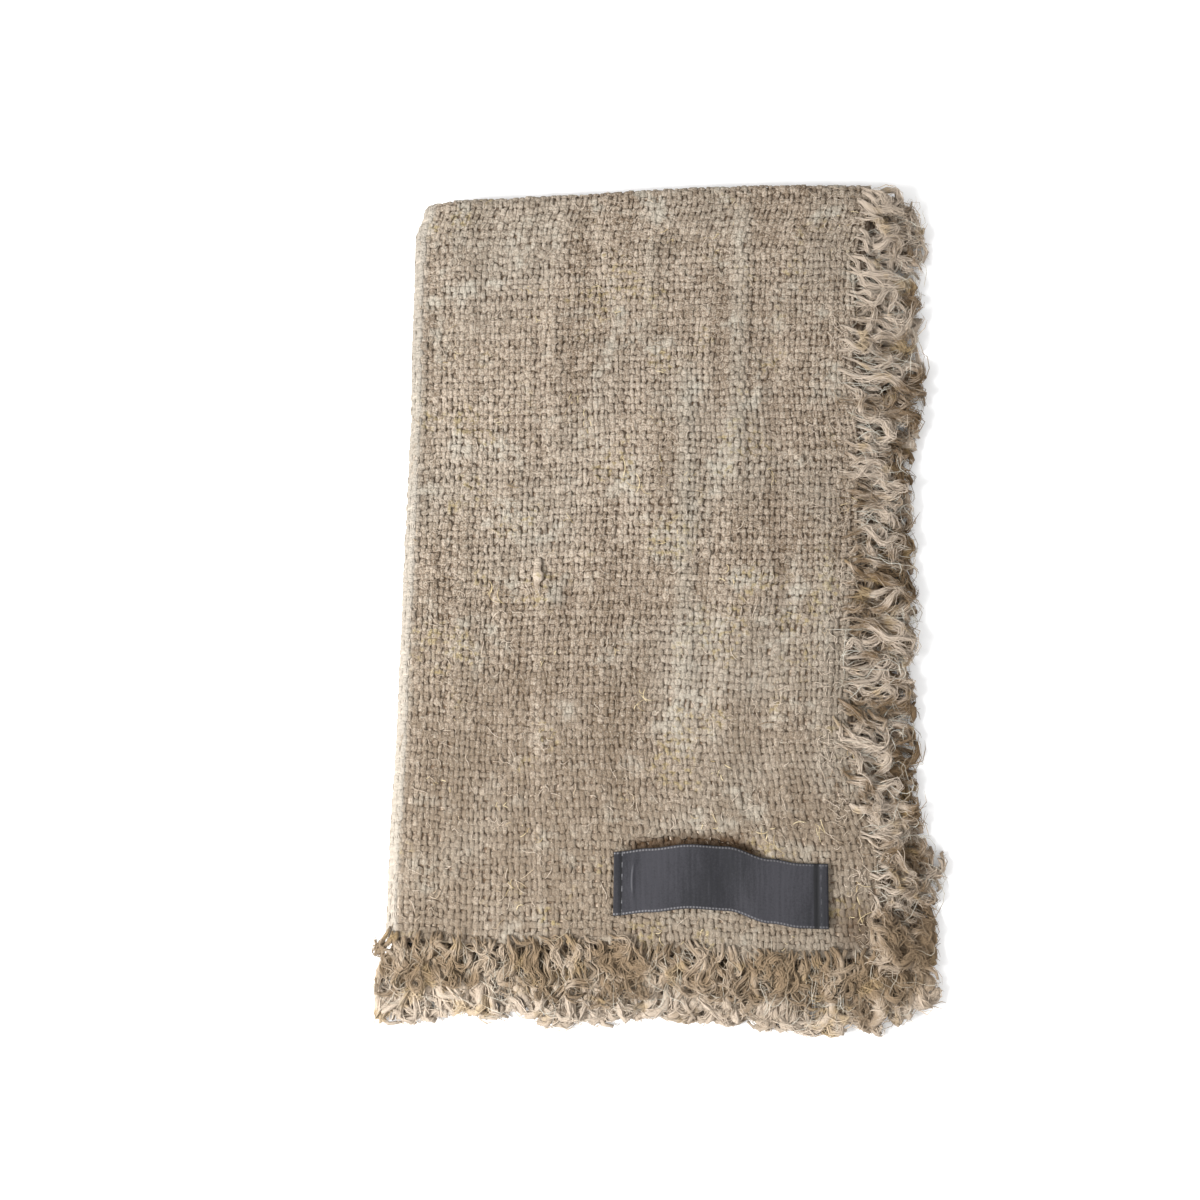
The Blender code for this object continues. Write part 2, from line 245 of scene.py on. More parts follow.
# Loose fibres on the face, straws, and wisps over the fringe
FACE_FIBRES = 1750
LONGEST_FIBRE = 6.5
STRAW_CLUSTERS = 34
STRAWS_EACH = 5
STRAW_SCATTER = 2.2
LONG_STRAW = 6.5
SHORT_STRAW = 3.0
LONG_STRAWS = (
    # x, y
    (-49.0, -13.4),
    (38.7, -89.2),
    (52.6, -86.9),
    (62.5, -109.8),
    (-3.0, 22.0),
    (2.0, -50.0),
)
WISPS = 700
SINGLE_FIBRE = {"core": 0.0, "run": 0.0, "number": 0.0}

# The locks of the fringe: steps along each, and the share of its girth that its end has
LOCK_STEPS = 19
UPPER_TIP_GIRTH = 0.38
LOWER_TIP_GIRTH = 0.62

# The label
LABEL_LEFT = -9.2
LABEL_RIGHT = 57.4
LABEL_HEIGHT = 19.8
LABEL_LINE = (
    # x, y of the middle line
    (-9.2, -107.2),
    (2.0, -106.0),
    (14.6, -104.7),
    (26.0, -105.2),
    (39.5, -108.9),
    (49.0, -110.2),
    (57.4, -110.3),
)
LABEL_MIDDLE_Y = -107.0
LABEL_MARGIN = 1.5
LABEL_LIFT = 2.15
LABEL_THICKNESS = 0.55
LABEL_ARCH = 1.5
LABEL_CREASE = 0.085
LEFT_STITCH = 0.035
RIGHT_STITCH = 0.955

# The cloth puckers just above the label's raised stretch
PUCKER_LEFT = -8.0
PUCKER_RIGHT = 42.0
PUCKER_OFF = 0.9
PUCKER_DEPTH = 1.7
PUCKER_REACH = 3.0

# The backing's rows lie closer together between these places along the face, to follow the pucker
CLOSE_FROM = -84.0
CLOSE_TO = -104.0

# The camera, above the middle of the face
CAMERA_PLACE = (38.98, -124.35, 506.5)
CAMERA_RIGHT = (0.99460, 0.01560, -0.10257)
CAMERA_UP = (0.00611, 0.97811, 0.20802)
CAMERA_LENS = 48.0
FACE_HEIGHT = 7.9

FLOOR_GAP = 0.02
STRAIGHT_UP = np.array([0.0, 0.0, 1.0])

cloth_low, cloth_high = (np.array(corner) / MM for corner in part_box("cloth"))
SHIFT = np.array([
    cloth_low[0] - min(x for _, x in LEFT_FOLD),
    cloth_high[1] - max(y for _, y in FAR_FOLD),
    0.0,
])


def ease(value):
    """Zero up to 0, one past 1, and 3v^2 - 2v^3 between."""
    value = np.clip(value, 0.0, 1.0)
    return value * value * (3.0 - 2.0 * value)


def between(start, end, share):
    return start + (end - start) * share


def bell(distance, reach):
    """exp(-(distance / reach)^2)."""
    return np.exp(-((distance / reach) ** 2))


def read_table(rows, where):
    """The second column at places in the first, eased from row to row."""
    places, values = np.array(rows, float).T
    where = np.clip(where, places[0], places[-1])
    high = np.clip(np.searchsorted(places, where), 1, len(places) - 1)
    share = (where - places[high - 1]) / (places[high] - places[high - 1])
    return between(values[high - 1], values[high], ease(share))


def slow_noise(chance, count, steps, knots):
    """Smooth random numbers along each of many paths: random knots, eased between."""
    values = chance.normal(size=(count, knots))
    place = np.linspace(0, knots - 1, steps)
    low = np.minimum(place.astype(int), knots - 2)
    return between(values[:, low], values[:, low + 1], ease(place - low))


def relief(x, y):
    """Soft ridges: each a bell across its middle line, eased to nothing at its two ends.

    The dips are bells both ways. The pucker above the label is a hollow along
    the label's own line, with a low rise beyond it.
    """
    height = 0.0
    for far_x, far_end, near_x, near_end, half_width, crest in RIDGES:
        reach = ease((far_end - y) / RIDGE_END) * ease((y - near_end) / RIDGE_END)
        middle = between(far_x, near_x, (far_end - y) / (far_end - near_end))
        height = height + crest * reach * bell(x - middle, half_width)
    clear_of_label = ease((y - RELIEF_NEAR) / RIDGE_END)
    clear_of_folds = ease((x - NOMINAL_LEFT - 8.0) / 10.0) * ease((NOMINAL_FAR - 2.0 - y) / 8.0)
    along_pucker = ease((x - PUCKER_LEFT) / 8.0) * ease((PUCKER_RIGHT - x) / 12.0)
    off_label = y - read_table(LABEL_LINE, x) - LABEL_HEIGHT / 2 - PUCKER_OFF
    section = bell(off_label, PUCKER_REACH) - 0.2 * bell(off_label - 2.5 * PUCKER_REACH, PUCKER_REACH)
    pucker = PUCKER_DEPTH * along_pucker * section
    height = height * clear_of_label * clear_of_folds - pucker
    for dip_x, dip_y, reach_x, reach_y, depth in DIPS:
        height = height - depth * bell(x - dip_x, reach_x) * bell(y - dip_y, reach_y)
    return height


def sheet_point(across, along):
    """Middle of the folded sheet and its outward direction at each (across, along).

    The far fold's section is a U of two layers. The left fold carries that U
    round a half circle: place = middle line + outward direction * the layer's
    offset, with the offset half a pitch out for the outer layer and half a
    pitch in for the inner one. Right of the fold the upper half sinks by the
    fold's fullness, and the relief is added to it.
    """
    across, along = np.broadcast_arrays(np.asarray(across, float), np.asarray(along, float))
    flat_x = np.abs(across) >= LEFT_BEND
    share_right = np.where(flat_x, (np.abs(across) - LEFT_BEND) / (1.0 - LEFT_BEND), 0.0)
    turn = np.where(flat_x, np.sign(across), across / LEFT_BEND) * math.pi / 2
    flat_y = np.abs(along) >= FAR_BEND
    share_near = np.where(flat_y, (np.abs(along) - FAR_BEND) / (1.0 - FAR_BEND), 0.0)
    curl = np.where(flat_y, np.sign(along), along / FAR_BEND) * math.pi / 2
    upper = turn > 0.0
    nominal_x = between(NOMINAL_LEFT, NOMINAL_RIGHT, share_right)
    nominal_y = between(NOMINAL_FAR, NOMINAL_NEAR, share_near)

    settle = EDGE_SETTLE * ease((share_near - 0.55) / 0.45)
    half_pitch = (LAYER_PITCH - settle) / 2
    far_half = LAYER_PITCH / 2 + FAR_FULLNESS
    far_line = read_table(FAR_FOLD, nominal_x) - far_half - SHEET_THICKNESS / 2
    near_line = read_table(NEAR_EDGE, nominal_x)
    inner_share = 0.5 * (1.0 - np.sin(curl))
    lower_share = np.where(upper, 0.0, ease(share_right / 0.3))
    near_line = near_line - INNER_PAST_NEAR * inner_share - LOWER_PAST_NEAR * lower_share
    y = between(far_line, near_line, share_near)
    half_pitch = half_pitch + FAR_FULLNESS * bell(far_line - y, FAR_REACH)
    offset = half_pitch * np.sin(curl)
    y = y + half_pitch * np.cos(curl)

    left_line = read_table(LEFT_FOLD, nominal_y)
    radius = (2 * half_pitch + LAYER_PITCH - settle + FOLD_FULLNESS) / 2
    centre_x = left_line + radius + half_pitch + SHEET_THICKNESS / 2
    right_line = read_table(RIGHT_EDGE, nominal_y)
    right_line = right_line + INNER_PAST_RIGHT * inner_share * ease(share_near / 0.1)
    right_line = right_line + LOWER_PAST_RIGHT * lower_share
    x = between(centre_x, right_line, share_right)

    z = SHEET_THICKNESS / 2 + half_pitch + radius + radius * np.sin(turn)
    bump = relief(x, y) * ease(turn / (math.pi / 2)) * np.where(curl < 0.0, INNER_SHARE, 1.0)
    z = z + np.where(upper, bump - FOLD_FULLNESS * (1.0 - bell(x - centre_x, FOLD_REACH)), 0.0)
    middle = np.stack([x - radius * np.cos(turn), y, z], -1)
    facing = np.stack([-np.cos(turn), np.zeros_like(x), np.sin(turn)], -1)
    outward = facing * np.sin(curl)[..., None]
    outward[..., 1] += np.cos(curl)
    return middle + facing * offset[..., None] + SHIFT, outward


def across_of(x):
    """The upper half's folding number at a place across the face."""
    return between(LEFT_BEND, 1.0, (x - NOMINAL_LEFT - 3.0) / (NOMINAL_RIGHT - NOMINAL_LEFT - 3.0))


def along_of(y):
    """The outer layer's folding number at a place along the face."""
    return between(FAR_BEND, 1.0, (NOMINAL_FAR - 2.0 - y) / (NOMINAL_FAR - 2.0 - NOMINAL_NEAR))


def face_point(x, y):
    """Middle of the outer layer and its outward direction at places on the face."""
    return sheet_point(np.clip(across_of(x), 0.0, 1.0), np.clip(along_of(y), 0.0, 1.0))


def mesh_piece(name, points, face_sets):
    """A smooth mesh object from points in millimetres and arrays of faces, each of one width."""
    mesh = bpy.data.meshes.new(name)
    points = np.asarray(points, np.float32).reshape(-1, 3) * MM
    widths = np.concatenate([np.full(len(faces), faces.shape[1]) for faces in face_sets])
    corners = np.concatenate([faces.ravel() for faces in face_sets]).astype(np.int32)
    mesh.vertices.add(len(points))
    mesh.vertices.foreach_set("co", points.ravel())
    mesh.loops.add(len(corners))
    mesh.loops.foreach_set("vertex_index", corners)
    mesh.polygons.add(len(widths))
    mesh.polygons.foreach_set("loop_start", (np.cumsum(widths) - widths).astype(np.int32))
    mesh.polygons.foreach_set("use_smooth", np.ones(len(widths), bool))
    mesh.update(calc_edges=True)
    piece = bpy.data.objects.new(name, mesh)
    bpy.context.scene.collection.objects.link(piece)
    return piece


def put_attribute(piece, name, values):
    layer = piece.data.attributes.new(name, "FLOAT", "POINT")
    layer.data.foreach_set("value", np.asarray(values, np.float32).ravel())


def shell_faces(width, length, turned):
    """Faces of a closed thin shell: two grids of points, one above the other, and the wall round them."""
    index = np.arange(width * length).reshape(width, length)
    faces = np.stack([index[:-1, :-1], index[1:, :-1], index[1:, 1:], index[:-1, 1:]], -1)
    faces = faces.reshape(-1, 4)
    rim = np.concatenate([index[:-1, 0], index[-1, :-1], index[:0:-1, -1], index[0, :0:-1]])
    after = np.roll(rim, -1)
    under = width * length
    walls = np.stack([rim, rim + under, after + under, after], -1)
    whole = np.concatenate([faces, faces[:, ::-1] + under, walls])
    return whole[:, ::-1] if turned else whole


def tube_frames(paths, up=STRAIGHT_UP):
    """Side and lift directions along paths.

    The side is the path's direction crossed with up, and the lift is the side
    crossed with the path's direction.
    """
    ahead = np.gradient(paths, axis=1)
    ahead /= np.linalg.norm(ahead, axis=-1, keepdims=True) + 1e-9
    side = np.cross(ahead, up)
    side /= np.linalg.norm(side, axis=-1, keepdims=True) + 1e-9
    return side, np.cross(side, ahead)


def tubes(paths, widths, heights, section, values, up=STRAIGHT_UP, blunt=0.3, spin=0.0):
    """Closed tubes along many paths: points, faces, point values and a count to map them by.

    paths is (tubes, steps, 3). Each ring is side * width * cos(angle) + lift *
    height * sin(angle) about the path, and a flat face closes the narrowed
    ring at each end. The values named side and top are the cosine and sine of
    the angle, turned by spin radians for each millimetre along the path.
    """
    count, steps, _ = paths.shape
    sides = len(section)
    side, lift = tube_frames(paths, up)
    closing = np.ones(steps)
    closing[0] = closing[-1] = blunt
    widths = np.broadcast_to(widths, (count, steps)) * closing
    heights = np.broadcast_to(heights, (count, steps)) * closing
    rings = (paths[:, :, None, :]
             + side[:, :, None, :] * (widths[:, :, None] * np.cos(section))[..., None]
             + lift[:, :, None, :] * (heights[:, :, None] * np.sin(section))[..., None])
    rings[..., 2] = np.maximum(rings[..., 2], FLOOR_GAP)
    index = np.arange(count * steps * sides).reshape(count, steps, sides)
    after = np.roll(index, -1, axis=2)
    walls = np.stack([index[:, :-1], index[:, 1:], after[:, 1:], after[:, :-1]], -1)
    walls = walls.reshape(-1, 4)
    spread = {
        key: np.repeat(np.broadcast_to(item, (count, steps)), sides)
        for key, item in values.items()
    }
    angles = section + spin * path_lengths(paths)[:, :, None]
    spread["side"] = np.cos(angles).reshape(-1)
    spread["top"] = np.sin(angles).reshape(-1)
    return {
        "points": rings.reshape(-1, 3),
        "faces": [walls, index[:, 0], index[:, -1, ::-1]],
        "values": spread,
        "shape": (count, steps, sides),
    }


def strip_map(shape, low, high):
    """The bake map of one set of tubes: each tube unrolled in a strip, its two ends beside it."""
    count, steps, sides = shape
    square = math.sqrt(count * sides / steps * (high - low))
    rows = min(count, max(1, int(round(square))))
    per_row = -(-count // rows)
    number = np.arange(count)
    left = (number // rows) / per_row
    bottom = low + (high - low) * (number % rows) / rows
    tall = (high - low) / rows
    step = np.arange(steps) / (steps - 1)
    u = left[:, None] + (0.05 + 0.90 * step) / per_row
    v = bottom[:, None] + (0.08 + 0.84 * np.arange(sides + 1) / sides) * tall
    wall_shape = (count, steps - 1, sides)
    u0, u1 = (np.broadcast_to(part[:, :, None], wall_shape) for part in (u[:, :-1], u[:, 1:]))
    v0, v1 = (np.broadcast_to(part[:, None, :], wall_shape) for part in (v[:, :-1], v[:, 1:]))
    walls = np.stack([u0, v0, u1, v0, u1, v1, u0, v1], -1).reshape(-1, 2)
    angle = 2 * math.pi * np.arange(sides) / sides
    ends = []
    for middle, way in ((0.022, 1.0), (0.978, -1.0)):
        round_u = left[:, None] + (middle + 0.018 * np.cos(angle) * way) / per_row
        round_v = bottom[:, None] + (0.5 + 0.3 * np.sin(angle)) * tall
        ends.append(np.stack([round_u, round_v], -1).reshape(-1, 2))
    return np.concatenate([walls, *ends])


def tube_piece(name, *sets):
    """One mesh object from one or more sets of tubes."""
    sizes = [len(part["points"]) for part in sets]
    starts = np.cumsum(sizes) - sizes
    face_sets = [faces + start for part, start in zip(sets, starts) for faces in part["faces"]]
    piece = mesh_piece(name, np.concatenate([part["points"] for part in sets]), face_sets)
    for key in sets[0]["values"]:
        put_attribute(piece, key, np.concatenate([part["values"][key] for part in sets]))
    areas = [math.prod(part["shape"]) for part in sets]
    edges = np.concatenate([[0.0], np.cumsum(areas) / sum(areas)])
    maps = [
        strip_map(part["shape"], low, high)
        for part, low, high in zip(sets, edges[:-1], edges[1:])
    ]
    layer = piece.data.uv_layers.new(name="OFBake")
    layer.data.foreach_set("uv", np.concatenate(maps).astype(np.float32).ravel())
    return piece


def path_lengths(paths):
    """Running length along each path."""
    steps = np.linalg.norm(np.diff(paths, axis=1), axis=-1)
    return np.concatenate([np.zeros((len(paths), 1)), np.cumsum(steps, axis=1)], 1)


def yarn_lines(on_face, on_fold, below, bend):
    """Numbers of the yarns: a few below the fold, those round it, and those on the face."""
    pitch = (1.0 - bend) / on_face
    lower = -bend - pitch * (np.arange(below)[::-1] + 0.5)
    fold = -bend + 2 * bend * (np.arange(on_fold) + 0.5) / on_fold
    face = bend + pitch * (np.arange(on_face) + 0.5)
    return np.concatenate([lower, fold, face])


def fold_wear_and_light(across):
    """How rubbed and how lit the left fold is: 1 on its upper shoulder, eased to 0 on the face and
    halfway down. The backing fills the gaps there, and the colour of yarns and backing takes it partly as
    wear and partly as a painted highlight of the shoulder that faces the light.
    """
    return ease((across + 0.01) / 0.035) * (1.0 - ease((across - LEFT_BEND * 0.90) / 0.020))


def nearness(along):
    """0 over the far part of the face, eased to 1 towards its near edge."""
    return ease((along - 0.45) / 0.4)


def by_crossing(chance, count, crossings):
    """A random number for each crossing of each yarn, the same at both steps of the crossing."""
    return np.repeat(chance.normal(size=(count, crossings)), 2, axis=1)


def weave_yarns():
    """The warp and the weft of the face: each passes over and under the other set.

    A yarn's height is rise * cos(pi * crossing), so it is up at every second
    crossing and down at the others, with the two sets out of step. Width,
    height and shade change from crossing to crossing by chance, and the middle
    line wanders.
    """
    chance = np.random.default_rng(5)
    warp = yarn_lines(WARP_ON_FACE, WARP_ON_FOLD, WARP_BELOW, LEFT_BEND)
    weft = yarn_lines(WEFT_ON_FACE, WEFT_ON_FOLD, WEFT_BELOW, FAR_BEND)
    pieces = []
    for name, own, other, rise, half_width in (
        ("warp_yarns", warp, weft, WARP_RISE, WARP_HALF_WIDTH),
        ("weft_yarns", weft, warp, WEFT_RISE, WEFT_HALF_WIDTH),
    ):
        is_warp = own is warp
        count, crossings = len(own), len(other)
        steps = 2 * crossings
        crossing = np.arange(steps) / 2 - 0.25
        stations = np.interp(crossing, np.arange(crossings), other)
        stations[0] = other[0] - (other[1] - other[0]) * 0.5
        stations[-1] = min(other[-1] + (other[-1] - other[-2]) * 0.5, 1.0)

        wander = 0.16 * slow_noise(chance, count, steps, 12)
        wander = wander + 0.10 * slow_noise(chance, count, steps, 60)
        wander = wander + 0.09 * by_crossing(chance, count, crossings)
        line = own[:, None] + wander * np.gradient(own)[:, None]
        swell = 1.0 + 0.11 * slow_noise(chance, count, steps, 26) + 0.13 * chance.normal(size=(count, 1))
        swell = swell + 0.17 * by_crossing(chance, count, crossings)
        slub = np.clip(slow_noise(chance, count, steps, 34) - 1.6, 0.0, 1.0)
        nub = 0.0
        if is_warp:
            nearest = np.argmin(np.abs(own - across_of(NUB_X)))
            nub = bell(stations[None, :] - along_of(NUB_Y), 0.016)
            nub = nub * (np.arange(count) == nearest)[:, None]
            slub = slub + NUB_SWELL * nub
        swell = np.clip(swell, 0.62, WIDEST_SWELL) + 0.5 * slub
        wave = np.cos(math.pi * (crossing[None, :] + np.arange(count)[:, None] + (0 if is_warp else 1)))
        if is_warp:
            across, along = line, np.broadcast_to(stations[None, :], line.shape)
        else:
            across, along = np.broadcast_to(stations[None, :], line.shape), line
        places, outward = sheet_point(across, along)
        x, y = places[..., 0] - SHIFT[0], places[..., 1] - SHIFT[1]
        uneven = np.clip(1.0 + 0.28 * by_crossing(chance, count, crossings), 0.2, 1.8)
        height = WEAVE_LIFT + rise * wave * uneven * (1.0 - NEAR_CALM * nearness(along))
        height = height + 0.07 * slow_noise(chance, count, steps, 40) + 0.25 * slub + NUB_LIFT * nub
        pressed = near_label(x, y) & (across > 0.0)
        height = np.where(pressed, np.minimum(height, WEAVE_LIFT + rise), height)
        swell = np.where(pressed, np.minimum(swell, PRESSED_SWELL), swell)
        paths = places + outward * height[..., None]
        tone = chance.normal(size=(count, 1)) * 0.5 + 0.45 * slow_noise(chance, count, steps, 20)
        tone = tone + 0.75 * by_crossing(chance, count, crossings) + 1.2 * slub + NUB_TONE * nub
        widths = half_width * swell * (1.0 + 0.10 * wave)
        yarns = tubes(paths, widths, YARN_HALF_HEIGHT * np.sqrt(swell), YARN_SECTION, {
            "tone": tone,
            "run": path_lengths(paths) * MM,
            "height": wave,
            "worn_and_lit": fold_wear_and_light(across),
            # The relief's height, for painted shade in its hollows and a painted highlight on its crests.
            "crest": relief(x, y) * (across > 0.0),
            "number": np.arange(count)[:, None] + (0.0 if is_warp else 500.0),
        }, up=outward)
        pieces.append(tube_piece(name, yarns))
    return pieces


def backing_sheet():
    """The folded sheet under the yarns: an outer and an inner surface of one grid, joined at the rim."""
    columns = np.concatenate([
        np.linspace(-1.0, -LEFT_BEND, 30)[:-1],
        np.linspace(-LEFT_BEND, LEFT_BEND, 15)[:-1],
        np.linspace(LEFT_BEND, 1.0, 56),
    ])
    rows = np.concatenate([
        np.linspace(-1.0, -FAR_BEND, 34)[:-1],
        np.linspace(-FAR_BEND, FAR_BEND, 9)[:-1],
        np.linspace(FAR_BEND, along_of(CLOSE_FROM), 53)[:-1],
        np.linspace(along_of(CLOSE_FROM), along_of(CLOSE_TO), 17)[:-1],
        np.linspace(along_of(CLOSE_TO), 1.0, 7),
    ])
    across, along = np.meshgrid(columns, rows, indexing="ij")
    middle, outward = sheet_point(across, along)
    worn_and_lit = fold_wear_and_light(across)
    over_gaps = BACKING_OUT + WORN_FILL * worn_and_lit + NEAR_FILL * nearness(along) * (1.0 - worn_and_lit)
    hidden = (across < -LEFT_BEND) | (along < -FAR_BEND)
    out = np.where(hidden, SHEET_THICKNESS / 2, over_gaps)
    past_folds = ease((-LEFT_BEND - across) / 0.03) * ease((along - FAR_BEND) / 0.02)
    blended = between(over_gaps, SHEET_THICKNESS / 2, past_folds)
    out = np.where(hidden & (along > FAR_BEND), blended, out)
    outer = middle + outward * out[..., None]
    inner = middle + outward * BACKING_IN
    piece = mesh_piece("cloth_sheet", np.concatenate([outer.reshape(-1, 3), inner.reshape(-1, 3)]),
                       [shell_faces(*across.shape, turned=True)])
    for name, values in (
        ("across", across * (WARP_ON_FACE / (1 - LEFT_BEND))),
        ("along", along * (WEFT_ON_FACE / (1 - FAR_BEND))),
        ("worn_and_lit", worn_and_lit),
    ):
        put_attribute(piece, name, np.tile(values.ravel(), 2))
    return piece


def loose_fibres(count, steps):
    """Fine fibres over the face: short curly lines drawn in the sheet's two numbers and lifted off it."""
    chance = np.random.default_rng(61)
    share = np.linspace(0.0, 1.0, steps)[None, :]
    length = chance.uniform(2.0, 5.0, (count, 1))
    length = np.minimum(length * np.exp(0.5 * chance.normal(size=(count, 1))), LONGEST_FIBRE)
    heading = chance.uniform(0, 2 * math.pi, (count, 1)) + 0.9 * slow_noise(chance, count, steps, 3)
    step = length / (steps - 1)
    by_edge = chance.uniform(size=(count, 1)) < 0.20
    start_by_edge = NOMINAL_RIGHT - 4.0 - 3.0 * np.abs(chance.normal(size=(count, 1)))
    start_anywhere = chance.uniform(NOMINAL_LEFT - 2.0, NOMINAL_RIGHT - 1.0, (count, 1))
    x = np.where(by_edge, start_by_edge, start_anywhere) + np.cumsum(np.cos(heading) * step, 1)
    y = chance.uniform(NOMINAL_NEAR + 1.0, NOMINAL_FAR - 1.0, (count, 1))
    y = y + np.cumsum(np.sin(heading) * step, 1)
    clear = ~near_label(x, y).any(1)
    places, outward = face_point(x, y)
    arch = 0.25 * chance.exponential(size=(count, 1)) * np.sin(math.pi * share)
    lift = 0.92 + 0.14 * slow_noise(chance, count, steps, 4) + arch
    paths = places + outward * np.clip(lift, 0.7, 2.2)[..., None]
    thick = chance.uniform(0.06, 0.12, (count, 1))
    return tube_piece("face_fibres", tubes(paths[clear], thick[clear], thick[clear], FIBRE_SECTION, {
        "tone": (chance.normal(size=(count, 1)) * 0.7 + 1.2)[clear],
        "share": 1.0,
        **SINGLE_FIBRE,
    }))


def near_label(x, y):
    """Places on the label or just beside it."""
    off_line = np.abs(y - read_table(LABEL_LINE, x))
    beside = (x > LABEL_LEFT - LABEL_MARGIN) & (x < LABEL_RIGHT + LABEL_MARGIN)
    return beside & (off_line < LABEL_HEIGHT / 2 + 1.0)


def straw_bits(clusters, per_cluster):
    """Bits of golden straw caught in the weave and the fringe, a few together."""
    chance = np.random.default_rng(71)
    steps = 7
    placed_x, placed_y = np.array(LONG_STRAWS).T
    x = np.concatenate([placed_x, chance.uniform(-72.0, 76.0, clusters)])
    y = np.concatenate([placed_y, chance.uniform(-126.0, 120.0, clusters)])
    x = np.repeat(x, per_cluster) + chance.normal(size=len(x) * per_cluster) * STRAW_SCATTER
    y = np.repeat(y, per_cluster) + chance.normal(size=len(y) * per_cluster) * STRAW_SCATTER
    clear = ~near_label(x, y)
    x, y = x[clear], y[clear]
    count = len(x)
    heading = chance.choice([0.0, math.pi / 2], (count, 1)) + 0.5 * chance.normal(size=(count, 1))
    long = clear.nonzero()[0][:, None] < len(LONG_STRAWS) * per_cluster
    length = np.where(long, LONG_STRAW, SHORT_STRAW)
    run = np.linspace(-0.5, 0.5, steps)[None, :] * length * chance.uniform(0.3, 1.1, (count, 1))
    bend = 0.22 * chance.normal(size=(count, 1)) * run ** 2
    x = x[:, None] + np.cos(heading) * run - np.sin(heading) * bend
    y = y[:, None] + np.sin(heading) * run + np.cos(heading) * bend
    places, outward = face_point(x, y)
    lift = np.where(long, 1.15, 0.80) + 0.25 * chance.uniform(size=(count, 1))
    arch = 1.0 - np.linspace(-1.0, 1.0, steps)[None, :] ** 2
    lift = lift + np.where(long, 0.5, 0.0) * arch
    thick = chance.uniform(0.07, 0.15, (count, 1))
    paths = places + outward * lift[..., None]
    return tube_piece("straw_bits", tubes(paths, thick, thick * 0.5, STRAW_SECTION, {
        "tone": chance.normal(size=(count, 1)),
    }))


def hold(values, limit, give):
    """Values past a limit pulled back to it: limit + give * tanh(past / give)."""
    past = values - limit
    return np.where(past > 0.0, limit + give * np.tanh(past / give), values)


def lock_lines(chance, roots, outs, asides, inset, reach, leans, sway, tip_height, steps,
               curl, bounce, bias):
    """Middle lines of woolly locks.

    Each line is the running sum of short steps whose heading swings to and fro
    and then hooks round to one side, more often the positive one by the bias.
    The line is scaled so that its farthest point is at the lock's reach, and
    held back from swaying too far aside. Past the woven edge its height eases
    from the root's to the tip's, with a bounce.
    """
    count = len(roots)
    share = np.linspace(0.0, 1.0, steps)[None, :]
    waves = chance.uniform(1.0, 2.6, (count, 1))
    phase = chance.uniform(0, 2 * math.pi, (count, 1))
    swing = curl * chance.uniform(0.25, 0.8, (count, 1)) * ease(share / 0.25)
    hook = curl * chance.uniform(0.9, 2.2, (count, 1))
    hook = hook * ease((share - chance.uniform(0.25, 0.55, (count, 1))) / 0.55)
    hook = hook * np.where(chance.uniform(size=(count, 1)) < 0.5 + bias, 1.0, -1.0)
    heading = leans[:, None] + swing * np.sin(2 * math.pi * waves * share + phase) + hook
    ahead = np.cumsum(np.cos(heading), 1)
    sideways = np.cumsum(np.sin(heading), 1)
    ahead -= ahead[:, :1]
    sideways -= sideways[:, :1]
    scale = reach[:, None] / np.maximum(ahead.max(1, keepdims=True), 0.5 * steps)
    ahead *= scale
    sideways = hold(sideways * scale, sway[:, None], 2.0)
    sideways = -hold(-sideways, sway[:, None], 2.0)
    past_edge = ease((ahead - inset[:, None]) / np.maximum(reach - inset, 4.0)[:, None])
    height = between(roots[:, 2:], tip_height[:, None], past_edge)
    waves_up = chance.uniform(0.8, 1.8, (count, 1))
    phase_up = chance.uniform(0, 2 * math.pi, (count, 1))
    height = height + bounce * np.sin(2 * math.pi * waves_up * share + phase_up) * ease(share / 0.3)
    lines = roots[:, None, :] + ahead[..., None] * outs[:, None, :]
    lines = lines + sideways[..., None] * asides[:, None, :]
    lines[..., 2] = height
    lines[..., 1] = hold(lines[..., 1], FRINGE_FAR + SHIFT[1] - 2.0, 2.0)
    lines[..., 0] = -hold(-lines[..., 0], -(FRINGE_LEFT + SHIFT[0]) - 2.0, 2.0)
    return lines


def bundle_fibres(chance, lines, radii, per_lock, steps, twist, stray):
    """Fibres wound on locks: each a slow helix about its lock's line that strays out at its ends."""
    count, line_steps, _ = lines.shape
    total = count * per_lock
    lock = np.repeat(np.arange(count), per_lock)[:, None]
    start = chance.uniform(0.0, 0.3, (total, 1))
    stop = chance.uniform(0.6, 1.0, (total, 1))
    share = np.linspace(0.0, 1.0, steps)[None, :]
    place = between(start, stop, share) * (line_steps - 1)
    low = np.minimum(place.astype(int), line_steps - 2)
    part = place - low
    side, lift = tube_frames(lines)

    def along(values):
        return between(values[lock, low], values[lock, low + 1], part[..., None])

    radius = between(radii[lock, low], radii[lock, low + 1], part)
    angle = chance.uniform(0, 2 * math.pi, (total, 1))
    angle = angle + 2 * math.pi * twist * chance.normal(size=(total, 1)) * share
    angle = angle + 0.9 * slow_noise(chance, total, steps, 6)
    out = radius * chance.uniform(0.55, 1.1, (total, 1))
    out = out * (1.0 + stray[lock] * chance.exponential(size=(total, 1)) * (2.0 * share - 1.0) ** 2)
    out = out + 0.36 * slow_noise(chance, total, steps, 8)
    paths = along(lines) + along(side) * (out * np.cos(angle))[..., None]
    paths = paths + along(lift) * (0.8 * out * np.sin(angle))[..., None]
    return paths, lock[:, 0], place / (line_steps - 1)
